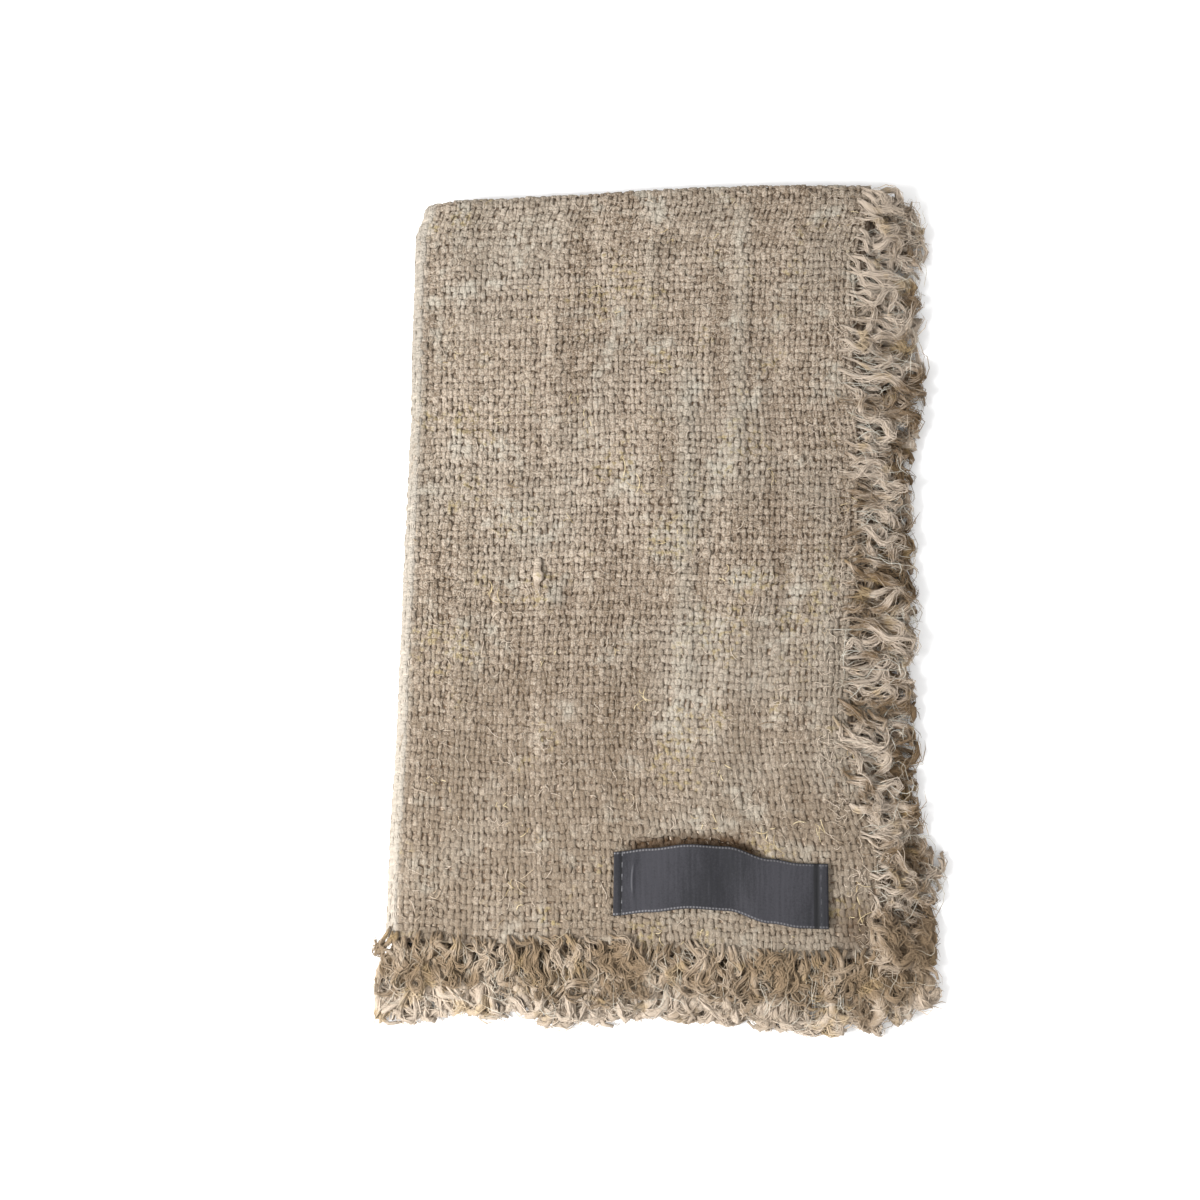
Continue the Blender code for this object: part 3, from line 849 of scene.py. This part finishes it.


# Frayed edges, a row for each layer of the cloth on each side. "lap" is how far
# locks start inside the woven edge, "reach" and "spread" are their length and
# its variety as shares of the room, "tip" is the height of the ends above the
# floor, "fibres" is how many each lock has and "steps" how many steps each of
# them has, "curl" and "bounce" are how far a lock swings aside and up, "tone"
# is its brightness, partly painted shade and light: the lower right rows are
# darker as they lie in shade, the lower near rows lighter as they are lit at
# the rim, "end_shade" is the painted shade and light that changes it towards
# the end: darker towards the outer ends on the right, which lie in shade,
# lighter on the lower near rows, and "coarse" is how thick its fibres and its
# core are.
FRINGE_ROWS = (
    # name, node, seed, side, across, along, locks,
    # lap, reach, spread, tip, radius, fibres, steps, curl, bounce, tone, end_shade, coarse
    ("right_top", "right_upper", 21, "right", 1, 1, 128,
     4.5, 0.66, 0.20, 5.8, 1.20, 15, 11, 1.7, 1.1, 1.7, -1.9, 1.0),
    ("right_second", "right_upper", 22, "right", 1, -1, 106,
     0.0, 0.88, 0.07, 4.8, 1.3, 11, 11, 1.4, 0.8, 0.7, -2.0, 1.0),
    ("right_third", "right_lower", 23, "right", -1, -1, 88,
     0.0, 0.93, 0.04, 3.0, 1.4, 8, 9, 1.1, 0.6, -0.7, -0.6, 1.2),
    ("right_floor", "right_lower", 24, "right", -1, 1, 88,
     0.0, 0.98, 0.04, 1.6, 1.4, 8, 9, 1.0, 0.3, -0.7, 0.0, 1.2),
    ("near_top", "near_outer", 31, "near", 1, 1, 104,
     3.0, 0.47, 0.12, 5.4, 1.0, 11, 11, 2.0, 1.0, -0.5, -0.4, 1.35),
    ("near_second", "near_inner", 32, "near", 1, -1, 76,
     0.0, 0.60, 0.08, 4.2, 1.2, 8, 10, 1.5, 0.7, -1.0, 0.0, 1.4),
    ("near_third", "near_inner", 33, "near", -1, -1, 92,
     0.0, 0.93, 0.05, 3.4, 1.45, 6, 10, 1.3, 0.6, 2.2, 1.0, 1.6),
    ("near_floor", "near_outer", 34, "near", -1, 1, 92,
     0.0, 0.99, 0.04, 2.0, 1.5, 6, 10, 1.2, 0.4, 2.6, 1.0, 1.6),
)


def fringe_layer(name, seed, side, across, along, locks, lap, reach, spread, tip, radius, fibres,
                 steps, curl, bounce, tone, end_shade, coarse):
    """The frayed edge of one layer along one side: rows of locks, each a core wound with fibres."""
    chance = np.random.default_rng(seed)
    number = (np.arange(locks) + 0.5 + 0.35 * chance.uniform(-1.0, 1.0, locks)) / locks
    number = 1.0 - (1.0 - number) ** CORNER_CROWD
    if side == "right":
        lines = between(FAR_BEND * 0.4, 1.0, number) * along
        middle, _ = sheet_point(np.full(locks, float(across)), lines)
        out, aside = (1.0, 0.0, 0.0), (0.0, -1.0, 0.0)
        tips = read_table(RIGHT_TIPS, middle[:, 1] - SHIFT[1]) + SHIFT[0]
        # Painted light and shade along the right edge: darker in the shade near the corner, lighter at
        # the far end.
        tone = tone + read_table(RIGHT_LIGHT_AND_SHADE, middle[:, 1] - SHIFT[1])
        room = tips - middle[:, 0]
        near_corner = middle[:, 1] - SHIFT[1] - NOMINAL_NEAR
        far_corner = NOMINAL_FAR - middle[:, 1] + SHIFT[1]
        corner = ease(1 - near_corner / CORNER_REACH)
        tidy = ease(1 - far_corner / FAR_TIDY)
        at_ends = tidy + 0.8 * corner
        leans = 0.3 + 0.4 * corner + 0.15 * ease(1 - far_corner / CORNER_REACH)
        sway = SIDE_SWAY + CORNER_SWAY * corner
        bias = 0.22
    else:
        lines = between(LEFT_BEND * 0.5, 1.0, number) * across
        middle, _ = sheet_point(lines, np.full(locks, float(along)))
        out, aside = (0.0, -1.0, 0.0), (1.0, 0.0, 0.0)
        tips = read_table(NEAR_TIPS, middle[:, 0] - SHIFT[0]) + SHIFT[1]
        # Painted light and shade along the near edge: darker in the shade towards the right corner.
        tone = tone + read_table(NEAR_LIGHT_AND_SHADE, middle[:, 0] - SHIFT[0])
        room = middle[:, 1] - tips
        right_corner = NOMINAL_RIGHT - middle[:, 0] + SHIFT[0]
        corner = ease(1 - right_corner / CORNER_REACH)
        tidy = 0.0
        at_ends = 0.8 * corner
        leans = 0.5 * corner
        sway = SIDE_SWAY + 0.4 * CORNER_SWAY * corner
        bias = 0.0
    outs = np.tile(out, (locks, 1))
    asides = np.tile(aside, (locks, 1))
    inset = 0.6 + lap * chance.uniform(size=locks) ** 1.5
    thick = radius * np.clip(np.exp(0.28 * chance.normal(size=locks)), 0.6, 1.7) * (1.0 + 0.3 * at_ends)
    leans = leans + 0.35 * slow_noise(chance, 1, locks, max(4, locks // 5))[0]
    leans = leans + 0.2 * chance.normal(size=locks)
    reaches = room * np.clip(reach + spread * chance.normal(size=locks), 0.25, 1.02) + inset - 0.4 * thick
    roots = middle - outs * inset[:, None]
    roots[:, 2] += (FACE_LIFT + 0.35) * ease((inset - 0.8) / 1.5)
    tip_heights = np.maximum(tip + 0.5 * chance.normal(size=locks), thick)
    paths = lock_lines(chance, roots, outs, asides, inset, reaches, leans, sway, tip_heights,
                       LOCK_STEPS, curl, bounce, bias)
    share = np.linspace(0.0, 1.0, LOCK_STEPS)[None, :]
    radii = thick[:, None] * between(0.6, 1.0, ease(share / 0.35))
    radii = radii * (1.0 + 0.18 * slow_noise(chance, locks, LOCK_STEPS, 9))
    paths[..., 2] = np.maximum(paths[..., 2], radii * 0.85)
    tufts = 0.75 * slow_noise(chance, 1, locks, max(4, locks // 4))[0]
    lock_tone = (tone + tufts)[:, None] + 0.45 * chance.normal(size=(locks, 1))
    ring = slice(0, LOCK_STEPS - 2, 2)
    tip_girth = UPPER_TIP_GIRTH if across > 0 else LOWER_TIP_GIRTH
    girth = (radii * between(1.0, tip_girth, ease((share - 0.35) / 0.55)))[:, ring]
    girth = girth * (0.35 + 0.31 * coarse)
    cores = tubes(paths[:, ring], girth, girth * 0.85, CORE_SECTION, {
        "tone": lock_tone + end_shade * share[:, ring],
        "share": share[:, ring],
        "core": 1.0,
        "run": path_lengths(paths[:, ring]) * MM,
        "number": np.arange(locks)[:, None] + 0.5,
    }, blunt=0.7, spin=0.25)
    stray = 0.35 * (1.0 - 0.8 * tidy) * np.ones(locks)
    strands, lock, strand_share = bundle_fibres(chance, paths, radii, fibres, steps, 0.5, stray)
    count = len(strands)
    fine = coarse * chance.uniform(0.08, 0.17, (count, 1)) * between(1.0, 0.7, strand_share)
    strands[..., 2] = np.maximum(strands[..., 2], fine + FLOOR_GAP)
    wound = tubes(strands, fine, fine, FIBRE_SECTION, {
        "tone": lock_tone[lock] + 0.7 / coarse * chance.normal(size=(count, 1)) + end_shade * strand_share,
        "share": strand_share,
        "core": 0.0,
        "run": path_lengths(strands) * MM,
        "number": np.arange(count)[:, None],
    })
    return tube_piece(name, wound, cores)


def fringe_wisps(count, steps):
    """Single long fibres loose in and over the fringe."""
    chance = np.random.default_rng(81)
    on_right = chance.uniform(size=count) < 0.6
    number = chance.uniform(0.06, 1.0, count)
    right_middle, _ = sheet_point(np.ones(count), number)
    near_middle, _ = sheet_point(number, np.ones(count))
    middle = np.where(on_right[:, None], right_middle, near_middle)
    outs = np.where(on_right[:, None], (1.0, 0.0, 0.0), (0.0, -1.0, 0.0))
    asides = np.where(on_right[:, None], (0.0, -1.0, 0.0), (1.0, 0.0, 0.0))
    right_room = read_table(RIGHT_TIPS, middle[:, 1] - SHIFT[1]) + SHIFT[0] - middle[:, 0]
    near_room = middle[:, 1] - read_table(NEAR_TIPS, middle[:, 0] - SHIFT[0]) - SHIFT[1]
    room = np.where(on_right, right_room, near_room)
    inset = chance.uniform(-10.0, 4.0, count)
    reach = room * chance.uniform(0.45, 1.06, count) + inset
    leans = 0.5 * chance.normal(size=count)
    sway = np.full(count, 1.5 * SIDE_SWAY)
    roots = middle - outs * inset[:, None]
    roots[:, 2] += between(1.6, -1.5, ease(-inset / 10.0))
    tip_heights = chance.uniform(0.6, 6.5, count)
    paths = lock_lines(chance, roots, outs, asides, inset, reach, leans, sway, tip_heights, steps,
                       curl=1.2, bounce=0.9, bias=0.1)
    thick = chance.uniform(0.06, 0.12, (count, 1))
    paths[..., 2] = np.maximum(paths[..., 2], thick + FLOOR_GAP)
    return tube_piece("fringe_wisps", tubes(paths, thick, thick, FIBRE_SECTION, {
        "tone": chance.normal(size=(count, 1)) * 0.8 + 0.6,
        "share": np.linspace(0.3, 1.0, steps)[None, :],
        **SINGLE_FIBRE,
    }))


def label_sheet():
    """The label: a tape whose middle line follows its curve.

    Its height is the face's, plus a low arch between its ends, small wrinkles
    and the folded ends, less a groove at each row of stitches.
    """
    share, across = np.meshgrid(np.linspace(0.0, 1.0, 111), np.linspace(-0.5, 0.5, 17), indexing="ij")
    x = between(LABEL_LEFT, LABEL_RIGHT, share)
    y = read_table(LABEL_LINE, x) + LABEL_HEIGHT * across
    arch = LABEL_ARCH * bell(share - 0.34, 0.2) * ease((share - 0.04) / 0.12)
    arch = arch * between(0.55, 1.0, across + 0.5)
    crease = share - LABEL_CREASE - 0.09 * (across + 0.1) ** 2 + 0.02 * across
    wrinkle = 0.6 * bell(crease, 0.011) * bell(across - 0.05, 0.30)
    slanting = share + 0.1 * across
    wrinkle = wrinkle + 0.25 * bell(slanting - 0.62, 0.05) - 0.2 * bell(slanting - 0.52, 0.05)
    grooves = 0.35 * (bell(share - LEFT_STITCH, 0.006) + bell(share - RIGHT_STITCH, 0.010))
    folded_ends = 0.30 * (1.0 - ease((share - 0.03) / 0.012) + ease((share - 0.955) / 0.012))
    face, _ = sheet_point(across_of(x), np.full_like(x, along_of(LABEL_MIDDLE_Y)))
    height = face[..., 2] + LABEL_LIFT + arch + wrinkle - grooves + folded_ends
    top = np.stack([x + SHIFT[0], y + SHIFT[1], height], -1)
    under = top - np.array([0.0, 0.0, LABEL_THICKNESS])
    piece = mesh_piece("label_tape", np.concatenate([top.reshape(-1, 3), under.reshape(-1, 3)]),
                       [shell_faces(*share.shape, turned=False)])
    put_attribute(piece, "share_long", np.tile(share.ravel(), 2))
    put_attribute(piece, "share_wide", np.tile(across.ravel() + 0.5, 2))
    return piece


class Value:
    """A socket that plain expressions can work with: each one adds its Math node."""

    def __init__(self, finish, socket):
        self.finish = finish
        self.socket = socket

    def math(self, operation, *others):
        node = self.finish.node("Math", {"operation": operation})
        for slot, item in zip(node.inputs, (self, *others)):
            self.finish.feed(slot, item)
        return Value(self.finish, node.outputs[0])

    def __add__(self, other):
        return self.math("ADD", other)

    def __sub__(self, other):
        return self.math("SUBTRACT", other)

    def __rsub__(self, other):
        return self.math("MULTIPLY", -1.0).math("ADD", other)

    def __mul__(self, other):
        return self.math("MULTIPLY", other)

    def sine(self):
        return self.math("SINE")

    def size(self):
        return self.math("ABSOLUTE")

    def within(self, low, high):
        """0 at low, 1 at high and eased between."""
        node = self.finish.node("MapRange", {"interpolation_type": "SMOOTHSTEP"},
                                Value=self, From_Min=low, From_Max=high)
        return Value(self.finish, node.outputs["Result"])

    def line(self, at, inner, outer):
        """1 up to the inner distance from a value, eased to 0 at the outer distance."""
        return 1.0 - (self - at).size().within(inner, outer)


class Finish:
    """One material, its Principled shader and the nodes that feed it."""

    def __init__(self, name, roughness, sheen=0.0, specular=0.3):
        self.material = bpy.data.materials.new(name)
        self.material.use_nodes = True
        self.tree = self.material.node_tree
        self.shader = self.tree.nodes["Principled BSDF"]
        self.set("Roughness", roughness)
        self.set("Sheen Weight", sheen)
        self.set("Sheen Roughness", 0.6)
        self.set("Specular IOR Level", specular)

    def set(self, socket, value):
        self.shader.inputs[socket].default_value = value

    def node(self, kind, settings=None, **inputs):
        """A node of a type, its settings first, then the values or links of its sockets."""
        node = self.tree.nodes.new("ShaderNode" + kind)
        for key, setting in (settings or {}).items():
            setattr(node, key, setting)
        for key, item in inputs.items():
            self.feed(node.inputs[key.replace("_", " ")], item)
        return node

    def feed(self, slot, item):
        if isinstance(item, (Value, bpy.types.NodeSocket)):
            self.tree.links.new(getattr(item, "socket", item), slot)
        else:
            slot.default_value = (*item, 1.0) if isinstance(item, tuple) else item

    def place(self):
        return self.node("TexCoord").outputs["Object"]

    def split(self, where):
        """The x and y of a place."""
        parts = self.node("SeparateXYZ", None, Vector=where).outputs
        return Value(self, parts["X"]), Value(self, parts["Y"])

    def attribute(self, name):
        return Value(self, self.node("Attribute", {"attribute_name": name}).outputs["Fac"])

    def vector(self, x, y, z):
        return self.node("CombineXYZ", None, X=x, Y=y, Z=z).outputs[0]

    def noise(self, where, scale, detail=2.0, roughness=0.5):
        node = self.node("TexNoise", None, Vector=where, Scale=scale, Detail=detail, Roughness=roughness)
        return Value(self, node.outputs["Fac"])

    def mix(self, share, first, second):
        """One colour towards another by a share, each a colour or a link."""
        node = self.node("Mix", {"data_type": "RGBA"})
        for slot, item in ((node.inputs[0], share), (node.inputs[6], first), (node.inputs[7], second)):
            self.feed(slot, item)
        return node.outputs[2]

    def colour(self, shade, dark, pale, *tints):
        """The shader's colour: dark to pale by the shade, then towards each tint by its own share."""
        colour = self.mix(shade, dark, pale)
        for share, tint in tints:
            colour = self.mix(share, colour, tint)
        self.tree.links.new(colour, self.shader.inputs["Base Color"])

    def bump(self, height, distance, strength=1.0):
        node = self.node("Bump", None, Height=height, Distance=distance, Strength=strength)
        self.tree.links.new(node.outputs[0], self.shader.inputs["Normal"])


PALE_FLAX = (0.54, 0.45, 0.36)
DARK_FLAX = (0.165, 0.118, 0.078)
# Pale lint, and also the colour of the painted highlights on the relief's crests and on the yarns'
# glints.
PALE_LINT_AND_HIGHLIGHT = (0.555, 0.53, 0.455)
# The left fold's shoulder: partly rubbed flax, partly a painted highlight where it faces the light.
WORN_LIT_FLAX = (0.425, 0.385, 0.330)
FRINGE_DARK = (0.175, 0.116, 0.062)
OLIVE_FLAX = (0.34, 0.265, 0.13)
STRAW = (0.45, 0.32, 0.15)
HONEY = (0.26, 0.175, 0.090)
# Painted shade: the brown mixed into the gaps between yarns, the hollows of the relief and the cores of
# the locks.
SHADE_BROWN = (0.070, 0.038, 0.018)
GREY_FLAX = (0.37, 0.335, 0.28)


def yarn_finish():
    """Linen yarn: each crossing its own shade, streaks, lint and straw tints, with painted shade where it
    dives and in hollows, and painted highlights on crests and glints.
    """
    finish = Finish("linen_yarn", 0.95, specular=0.06)
    where = finish.place()
    run = finish.attribute("run")
    number = finish.attribute("number")
    worn_and_lit = finish.attribute("worn_and_lit")
    side = finish.attribute("side")
    x, y = finish.split(where)
    near = (0.0 - y).within(-0.05, 0.110)
    soft = 1.0 - near * 0.45
    streaks = finish.noise(finish.vector(x * 85.0, y * 9.0, 0.0), 1.0, 2.0, 0.55)
    patches = finish.noise(where, 60.0, 3.0, 0.6)
    along = finish.vector(run * 1500.0 + side * 0.7, side * 1.6, number * 7.31)
    grain = finish.noise(along, 1.0, 3.0, 0.7) - 0.5
    fibre = finish.noise(where, 1900.0, 3.0, 0.75) - 0.5
    shade = finish.attribute("tone") * 0.09 + patches * 0.35 + streaks * 0.75
    shade = shade + (grain * 1.1 + fibre * 2.1) * soft
    # Painted shade: darker towards the near edge, and towards the right, away from the light.
    shade = shade - near * 0.39 - x.within(0.01, 0.075) * 0.10 - 0.045
    grey = finish.noise(where, 21.0, 2.0).within(0.45, 0.68)
    lint = finish.noise(where, 75.0, 4.0, 0.65).within(0.53, 0.70)
    fleck = finish.noise(where, 520.0, 2.0).within(0.50, 0.66)
    fleck = fleck * finish.noise(where, 62.0, 1.0).within(0.58, 0.68)
    ends = (0.0 - finish.attribute("height")).within(-0.5, 0.45)
    edges = side.size().within(0.6, 0.95)
    # Painted shade at the near-right corner, where the cloth dips beside the label.
    corner_shade = x.within(0.042, 0.072) * (0.0 - y).within(0.07, 0.112)
    # Painted shade where a yarn dives under the other set and along its sides; none on the worn, lit
    # fold, and less towards the near edge.
    dive_shade = (ends * edges * 0.55 + ends * 0.30 + edges * 0.08) * (1.0 - lint * 0.4) * (1.0 - worn_and_lit) * soft
    crest = finish.attribute("crest")
    hollow = 0.0 - crest
    # Painted shade in the hollows of the relief, darkest in the pucker above the label, and at the
    # near-right corner.
    dark = dive_shade + hollow.within(0.08, 0.8) * 0.3 + hollow.within(0.6, 1.4) * 0.5 + corner_shade * 0.22
    # Painted highlights: small glints on the yarns' crowns, none where they dive or in the hollows.
    glint = finish.noise(where, 2300.0, 2.0).within(0.60, 0.70) * (1.0 - ends)
    glint = glint * (1.0 - hollow.within(0.2, 0.8))
    # The relief's crests take a painted highlight, and the left fold's shoulder a colour that is partly
    # wear and partly painted highlight.
    finish.colour(
        shade.within(0.0, 1.0), DARK_FLAX, PALE_FLAX,
        (grey * 0.3 + near * 0.2, GREY_FLAX),
        (lint * (0.45 - near * 0.22), PALE_LINT_AND_HIGHLIGHT),
        (fleck * 0.7, OLIVE_FLAX),
        (dark.math("MINIMUM", 0.92), SHADE_BROWN),
        (crest.within(0.1, 0.8) * 0.18, PALE_LINT_AND_HIGHLIGHT),
        (glint * soft * 0.65, PALE_LINT_AND_HIGHLIGHT),
        (worn_and_lit * 0.8, WORN_LIT_FLAX),
    )
    twist = (run * 5200.0 + finish.noise(where, 700.0) * 6.0).sine()
    finish.bump((fibre + twist * 0.12 + grain * 0.6) * soft, 0.0010)
    return finish.material


def backing_finish():
    """The weave where no single yarns are laid: crowns of a plain weave in colour and bump, with painted
    shade in the gaps between them.
    """
    finish = Finish("linen_backing", 0.95, specular=0.1)
    where = finish.place()
    across = finish.attribute("across") * math.pi
    along = finish.attribute("along") * math.pi
    checks = across.math("COSINE") * along.math("COSINE")
    threads = (across.sine() * along.sine()).size()
    fibre = finish.noise(where, 1500.0, 3.0, 0.7)
    patches = finish.noise(where, 48.0, 3.0, 0.6)
    shade = patches * 0.5 + fibre * 0.8 + checks * 0.12 - 0.2
    worn_and_lit = finish.attribute("worn_and_lit")
    # Painted shade in the gaps between the crowns; the left fold's shoulder partly worn, partly a painted
    # highlight.
    finish.colour(
        shade.within(0.0, 1.0), DARK_FLAX, PALE_FLAX,
        ((1.0 - threads.within(0.0, 0.7)) * (1.0 - worn_and_lit) * 0.7, SHADE_BROWN),
        (worn_and_lit * 0.7, WORN_LIT_FLAX),
    )
    finish.bump(fibre * 0.4 + threads, 0.0007, 0.8)
    return finish.material


def fringe_finish(name, pale):
    """Loose linen fibres over cores darkened with painted shade, with golden tints here and there."""
    finish = Finish(name, 0.9, sheen=0.05, specular=0.12)
    where = finish.place()
    core = finish.attribute("core")
    patches = finish.noise(where, 90.0, 2.0, 0.6)
    _, y = finish.split(where)
    near = (0.0 - y).within(0.085, 0.115)
    soft = 1.0 - near * 0.5
    fibre = finish.noise(where, 1500.0, 3.0, 0.75) - 0.5
    along = finish.attribute("run") * 260.0 + finish.attribute("number") * 7.31
    round_core = finish.vector(finish.attribute("side") * 2.4, finish.attribute("top") * 2.4, along)
    streak = finish.noise(round_core, 1.0, 3.0, 0.7)
    # The tone carries painted light and shade by row and by place along the edge, as well as each lock's
    # own tone.
    shade = finish.attribute("tone") * 0.20 + finish.attribute("share") * 0.15
    shade = shade + patches * 0.5 + fibre * soft * 0.8
    clump = finish.noise(where, 88.0, 2.0, 0.6).within(0.36, 0.64)
    shade = shade + core * (streak - 0.5) * 2.2 * soft + clump * 0.75 - 0.22
    shade = shade.within(0.0, 1.0) * (1.0 - near * 0.28) + near * 0.15
    gold = finish.noise(where, 130.0, 2.0).within(0.58, 0.70)
    honey = (0.0 - y).within(0.100, 0.112) * (1.0 - (0.0 - y).within(0.122, 0.131))
    # The cores take painted shade, the shade deep inside each lock.
    finish.colour(
        shade, FRINGE_DARK, pale,
        (gold * 0.45, STRAW),
        (honey * 0.26, HONEY),
        (core * (0.25 - near * 0.15), SHADE_BROWN),
    )
    finish.bump(fibre * 0.5 + core * streak, 0.0009, 0.9)
    return finish.material


def straw_finish():
    """Bits of dry golden stem."""
    finish = Finish("flax_straw", 0.6, specular=0.4)
    where = finish.place()
    shade = finish.noise(where, 500.0, 2.0) + finish.attribute("tone") * 0.15
    finish.colour(shade.within(0.2, 0.8), (0.36, 0.27, 0.14), (0.64, 0.53, 0.33))
    finish.bump(finish.noise(where, 2200.0), 0.0002)
    return finish.material


def label_finish():
    """Dark satin tape: fine ribs, a pale dotted line along each woven edge, stitches at its ends, painted
    sheen in broad bands and a painted highlight along the crease.
    """
    finish = Finish("label_satin", 0.5, sheen=0.02, specular=0.3)
    long = finish.attribute("share_long")
    wide = finish.attribute("share_wide")
    where = finish.place()
    grain = finish.noise(where, 1600.0, 3.0, 0.7)
    streaks = finish.noise(finish.vector(long * 60.0, wide * 2.0, 0.0), 1.0, 2.0)
    # The sine term is painted sheen: broad lighter and darker bands where the curved satin catches the
    # light.
    shade = grain * 0.6 + streaks * 0.5 + (long * 11.0 - wide * 1.2).sine() * 0.16
    off_middle = (wide - 0.5).size()
    edge = off_middle.within(0.455, 0.465) * (1.0 - off_middle.within(0.482, 0.490))
    dots = (long * 420.0).sine().within(-0.2, 0.5)
    seam = long.line(LEFT_STITCH, 0.003, 0.006) + long.line(RIGHT_STITCH - 0.010, 0.009, 0.018)
    # A painted highlight along the crease near the left end.
    from_crease = long - (wide - 0.4) * (wide - 0.4) * 0.09 + (wide - 0.5) * 0.02
    crease = from_crease.line(LABEL_CREASE, 0.002, 0.006) * wide.line(0.55, 0.12, 0.26)
    thread = long.line(LEFT_STITCH + 0.004, 0.0015, 0.0035)
    thread = thread + long.line(RIGHT_STITCH + 0.012, 0.0015, 0.0035) * 0.25
    worn_off = finish.noise(finish.vector(wide * 9.0, 0.0, 0.0), 1.0).within(0.35, 0.6)
    dashes = (wide * 34.0).sine().within(-0.1, 0.3) * worn_off
    finish.colour(
        shade.within(0.3, 0.8), (0.006, 0.006, 0.009), (0.023, 0.022, 0.028),
        (edge * (dots * 0.34 + 0.10) * (1.0 - long * 0.55), (0.34, 0.33, 0.34)),
        (seam * 0.85, (0.003, 0.003, 0.004)),
        (crease * 0.35, (0.13, 0.13, 0.14)),
        (thread * dashes * 0.6, (0.20, 0.20, 0.21)),
    )
    ribs = (wide * 400.0).sine()
    weave = (long * 1100.0).sine()
    finish.bump(ribs * 0.4 + weave * 0.3 + grain * 0.5, 0.00012, 0.7)
    return finish.material


def add_stage():
    """A plain pale floor, soft light from the left and the front, and the camera."""
    bpy.ops.mesh.primitive_plane_add(size=6.0)
    floor = bpy.context.object
    floor.name = "floor"
    paper = Finish("floor_paper", 0.9, specular=0.1)
    paper.set("Base Color", (0.93, 0.93, 0.93, 1.0))
    floor.data.materials.append(paper.material)

    world = bpy.data.worlds.new("studio")
    bpy.context.scene.world = world
    world.use_nodes = True
    background = world.node_tree.nodes["Background"]
    background.inputs["Color"].default_value = (1.0, 1.0, 1.0, 1.0)
    background.inputs["Strength"].default_value = 0.95

    for name, place, size, power in (
        ("key", (-0.56, -0.24, 0.50), 0.25, 11.8),
        ("fill", (0.5, -0.9, 0.9), 0.9, 3.0),
    ):
        lamp = bpy.data.lights.new(name, "AREA")
        lamp.energy = power
        lamp.size = size
        light = bpy.data.objects.new(name, lamp)
        light.location = place
        light.rotation_euler = (-Vector(place)).to_track_quat("-Z", "Y").to_euler()
        bpy.context.scene.collection.objects.link(light)

    camera = bpy.data.objects.new("camera", bpy.data.cameras.new("camera"))
    camera.data.lens = CAMERA_LENS
    camera.data.sensor_width = 36.0
    camera.data.clip_start = 0.01
    right, up = Vector(CAMERA_RIGHT).normalized(), Vector(CAMERA_UP).normalized()
    back = right.cross(up)
    place = (np.array(CAMERA_PLACE) + SHIFT + np.array([0.0, 0.0, FACE_HEIGHT])) * MM
    camera.matrix_world = Matrix((right, up, back)).transposed().to_4x4()
    camera.location = place
    bpy.context.scene.collection.objects.link(camera)
    bpy.context.scene.camera = camera
    bpy.context.scene.view_settings.view_transform = "Standard"


def dress(piece, material, node=None):
    """Give a new piece its finish and its body, and hide the solid it stands for."""
    piece.data.materials.append(material)
    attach(piece, "root")
    if node:
        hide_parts(node)
    return piece


def main():
    add_stage()
    yarn = yarn_finish()
    sheet = dress(backing_sheet(), backing_finish(), "cloth")
    warp, weft = (dress(piece, yarn, "cloth") for piece in weave_yarns())

    fringe = fringe_finish("linen_fringe", PALE_FLAX)
    wisp = fringe_finish("linen_wisps", PALE_LINT_AND_HIGHLIGHT)
    for name, node, *facts in FRINGE_ROWS:
        dress(fringe_layer("fringe_" + name, *facts), fringe, "fringe_" + node)
    dress(fringe_wisps(WISPS, steps=12), wisp)
    dress(loose_fibres(FACE_FIBRES, steps=7), fringe)
    dress(straw_bits(STRAW_CLUSTERS, STRAWS_EACH), straw_finish())

    tape = dress(label_sheet(), label_finish(), "label")


main()
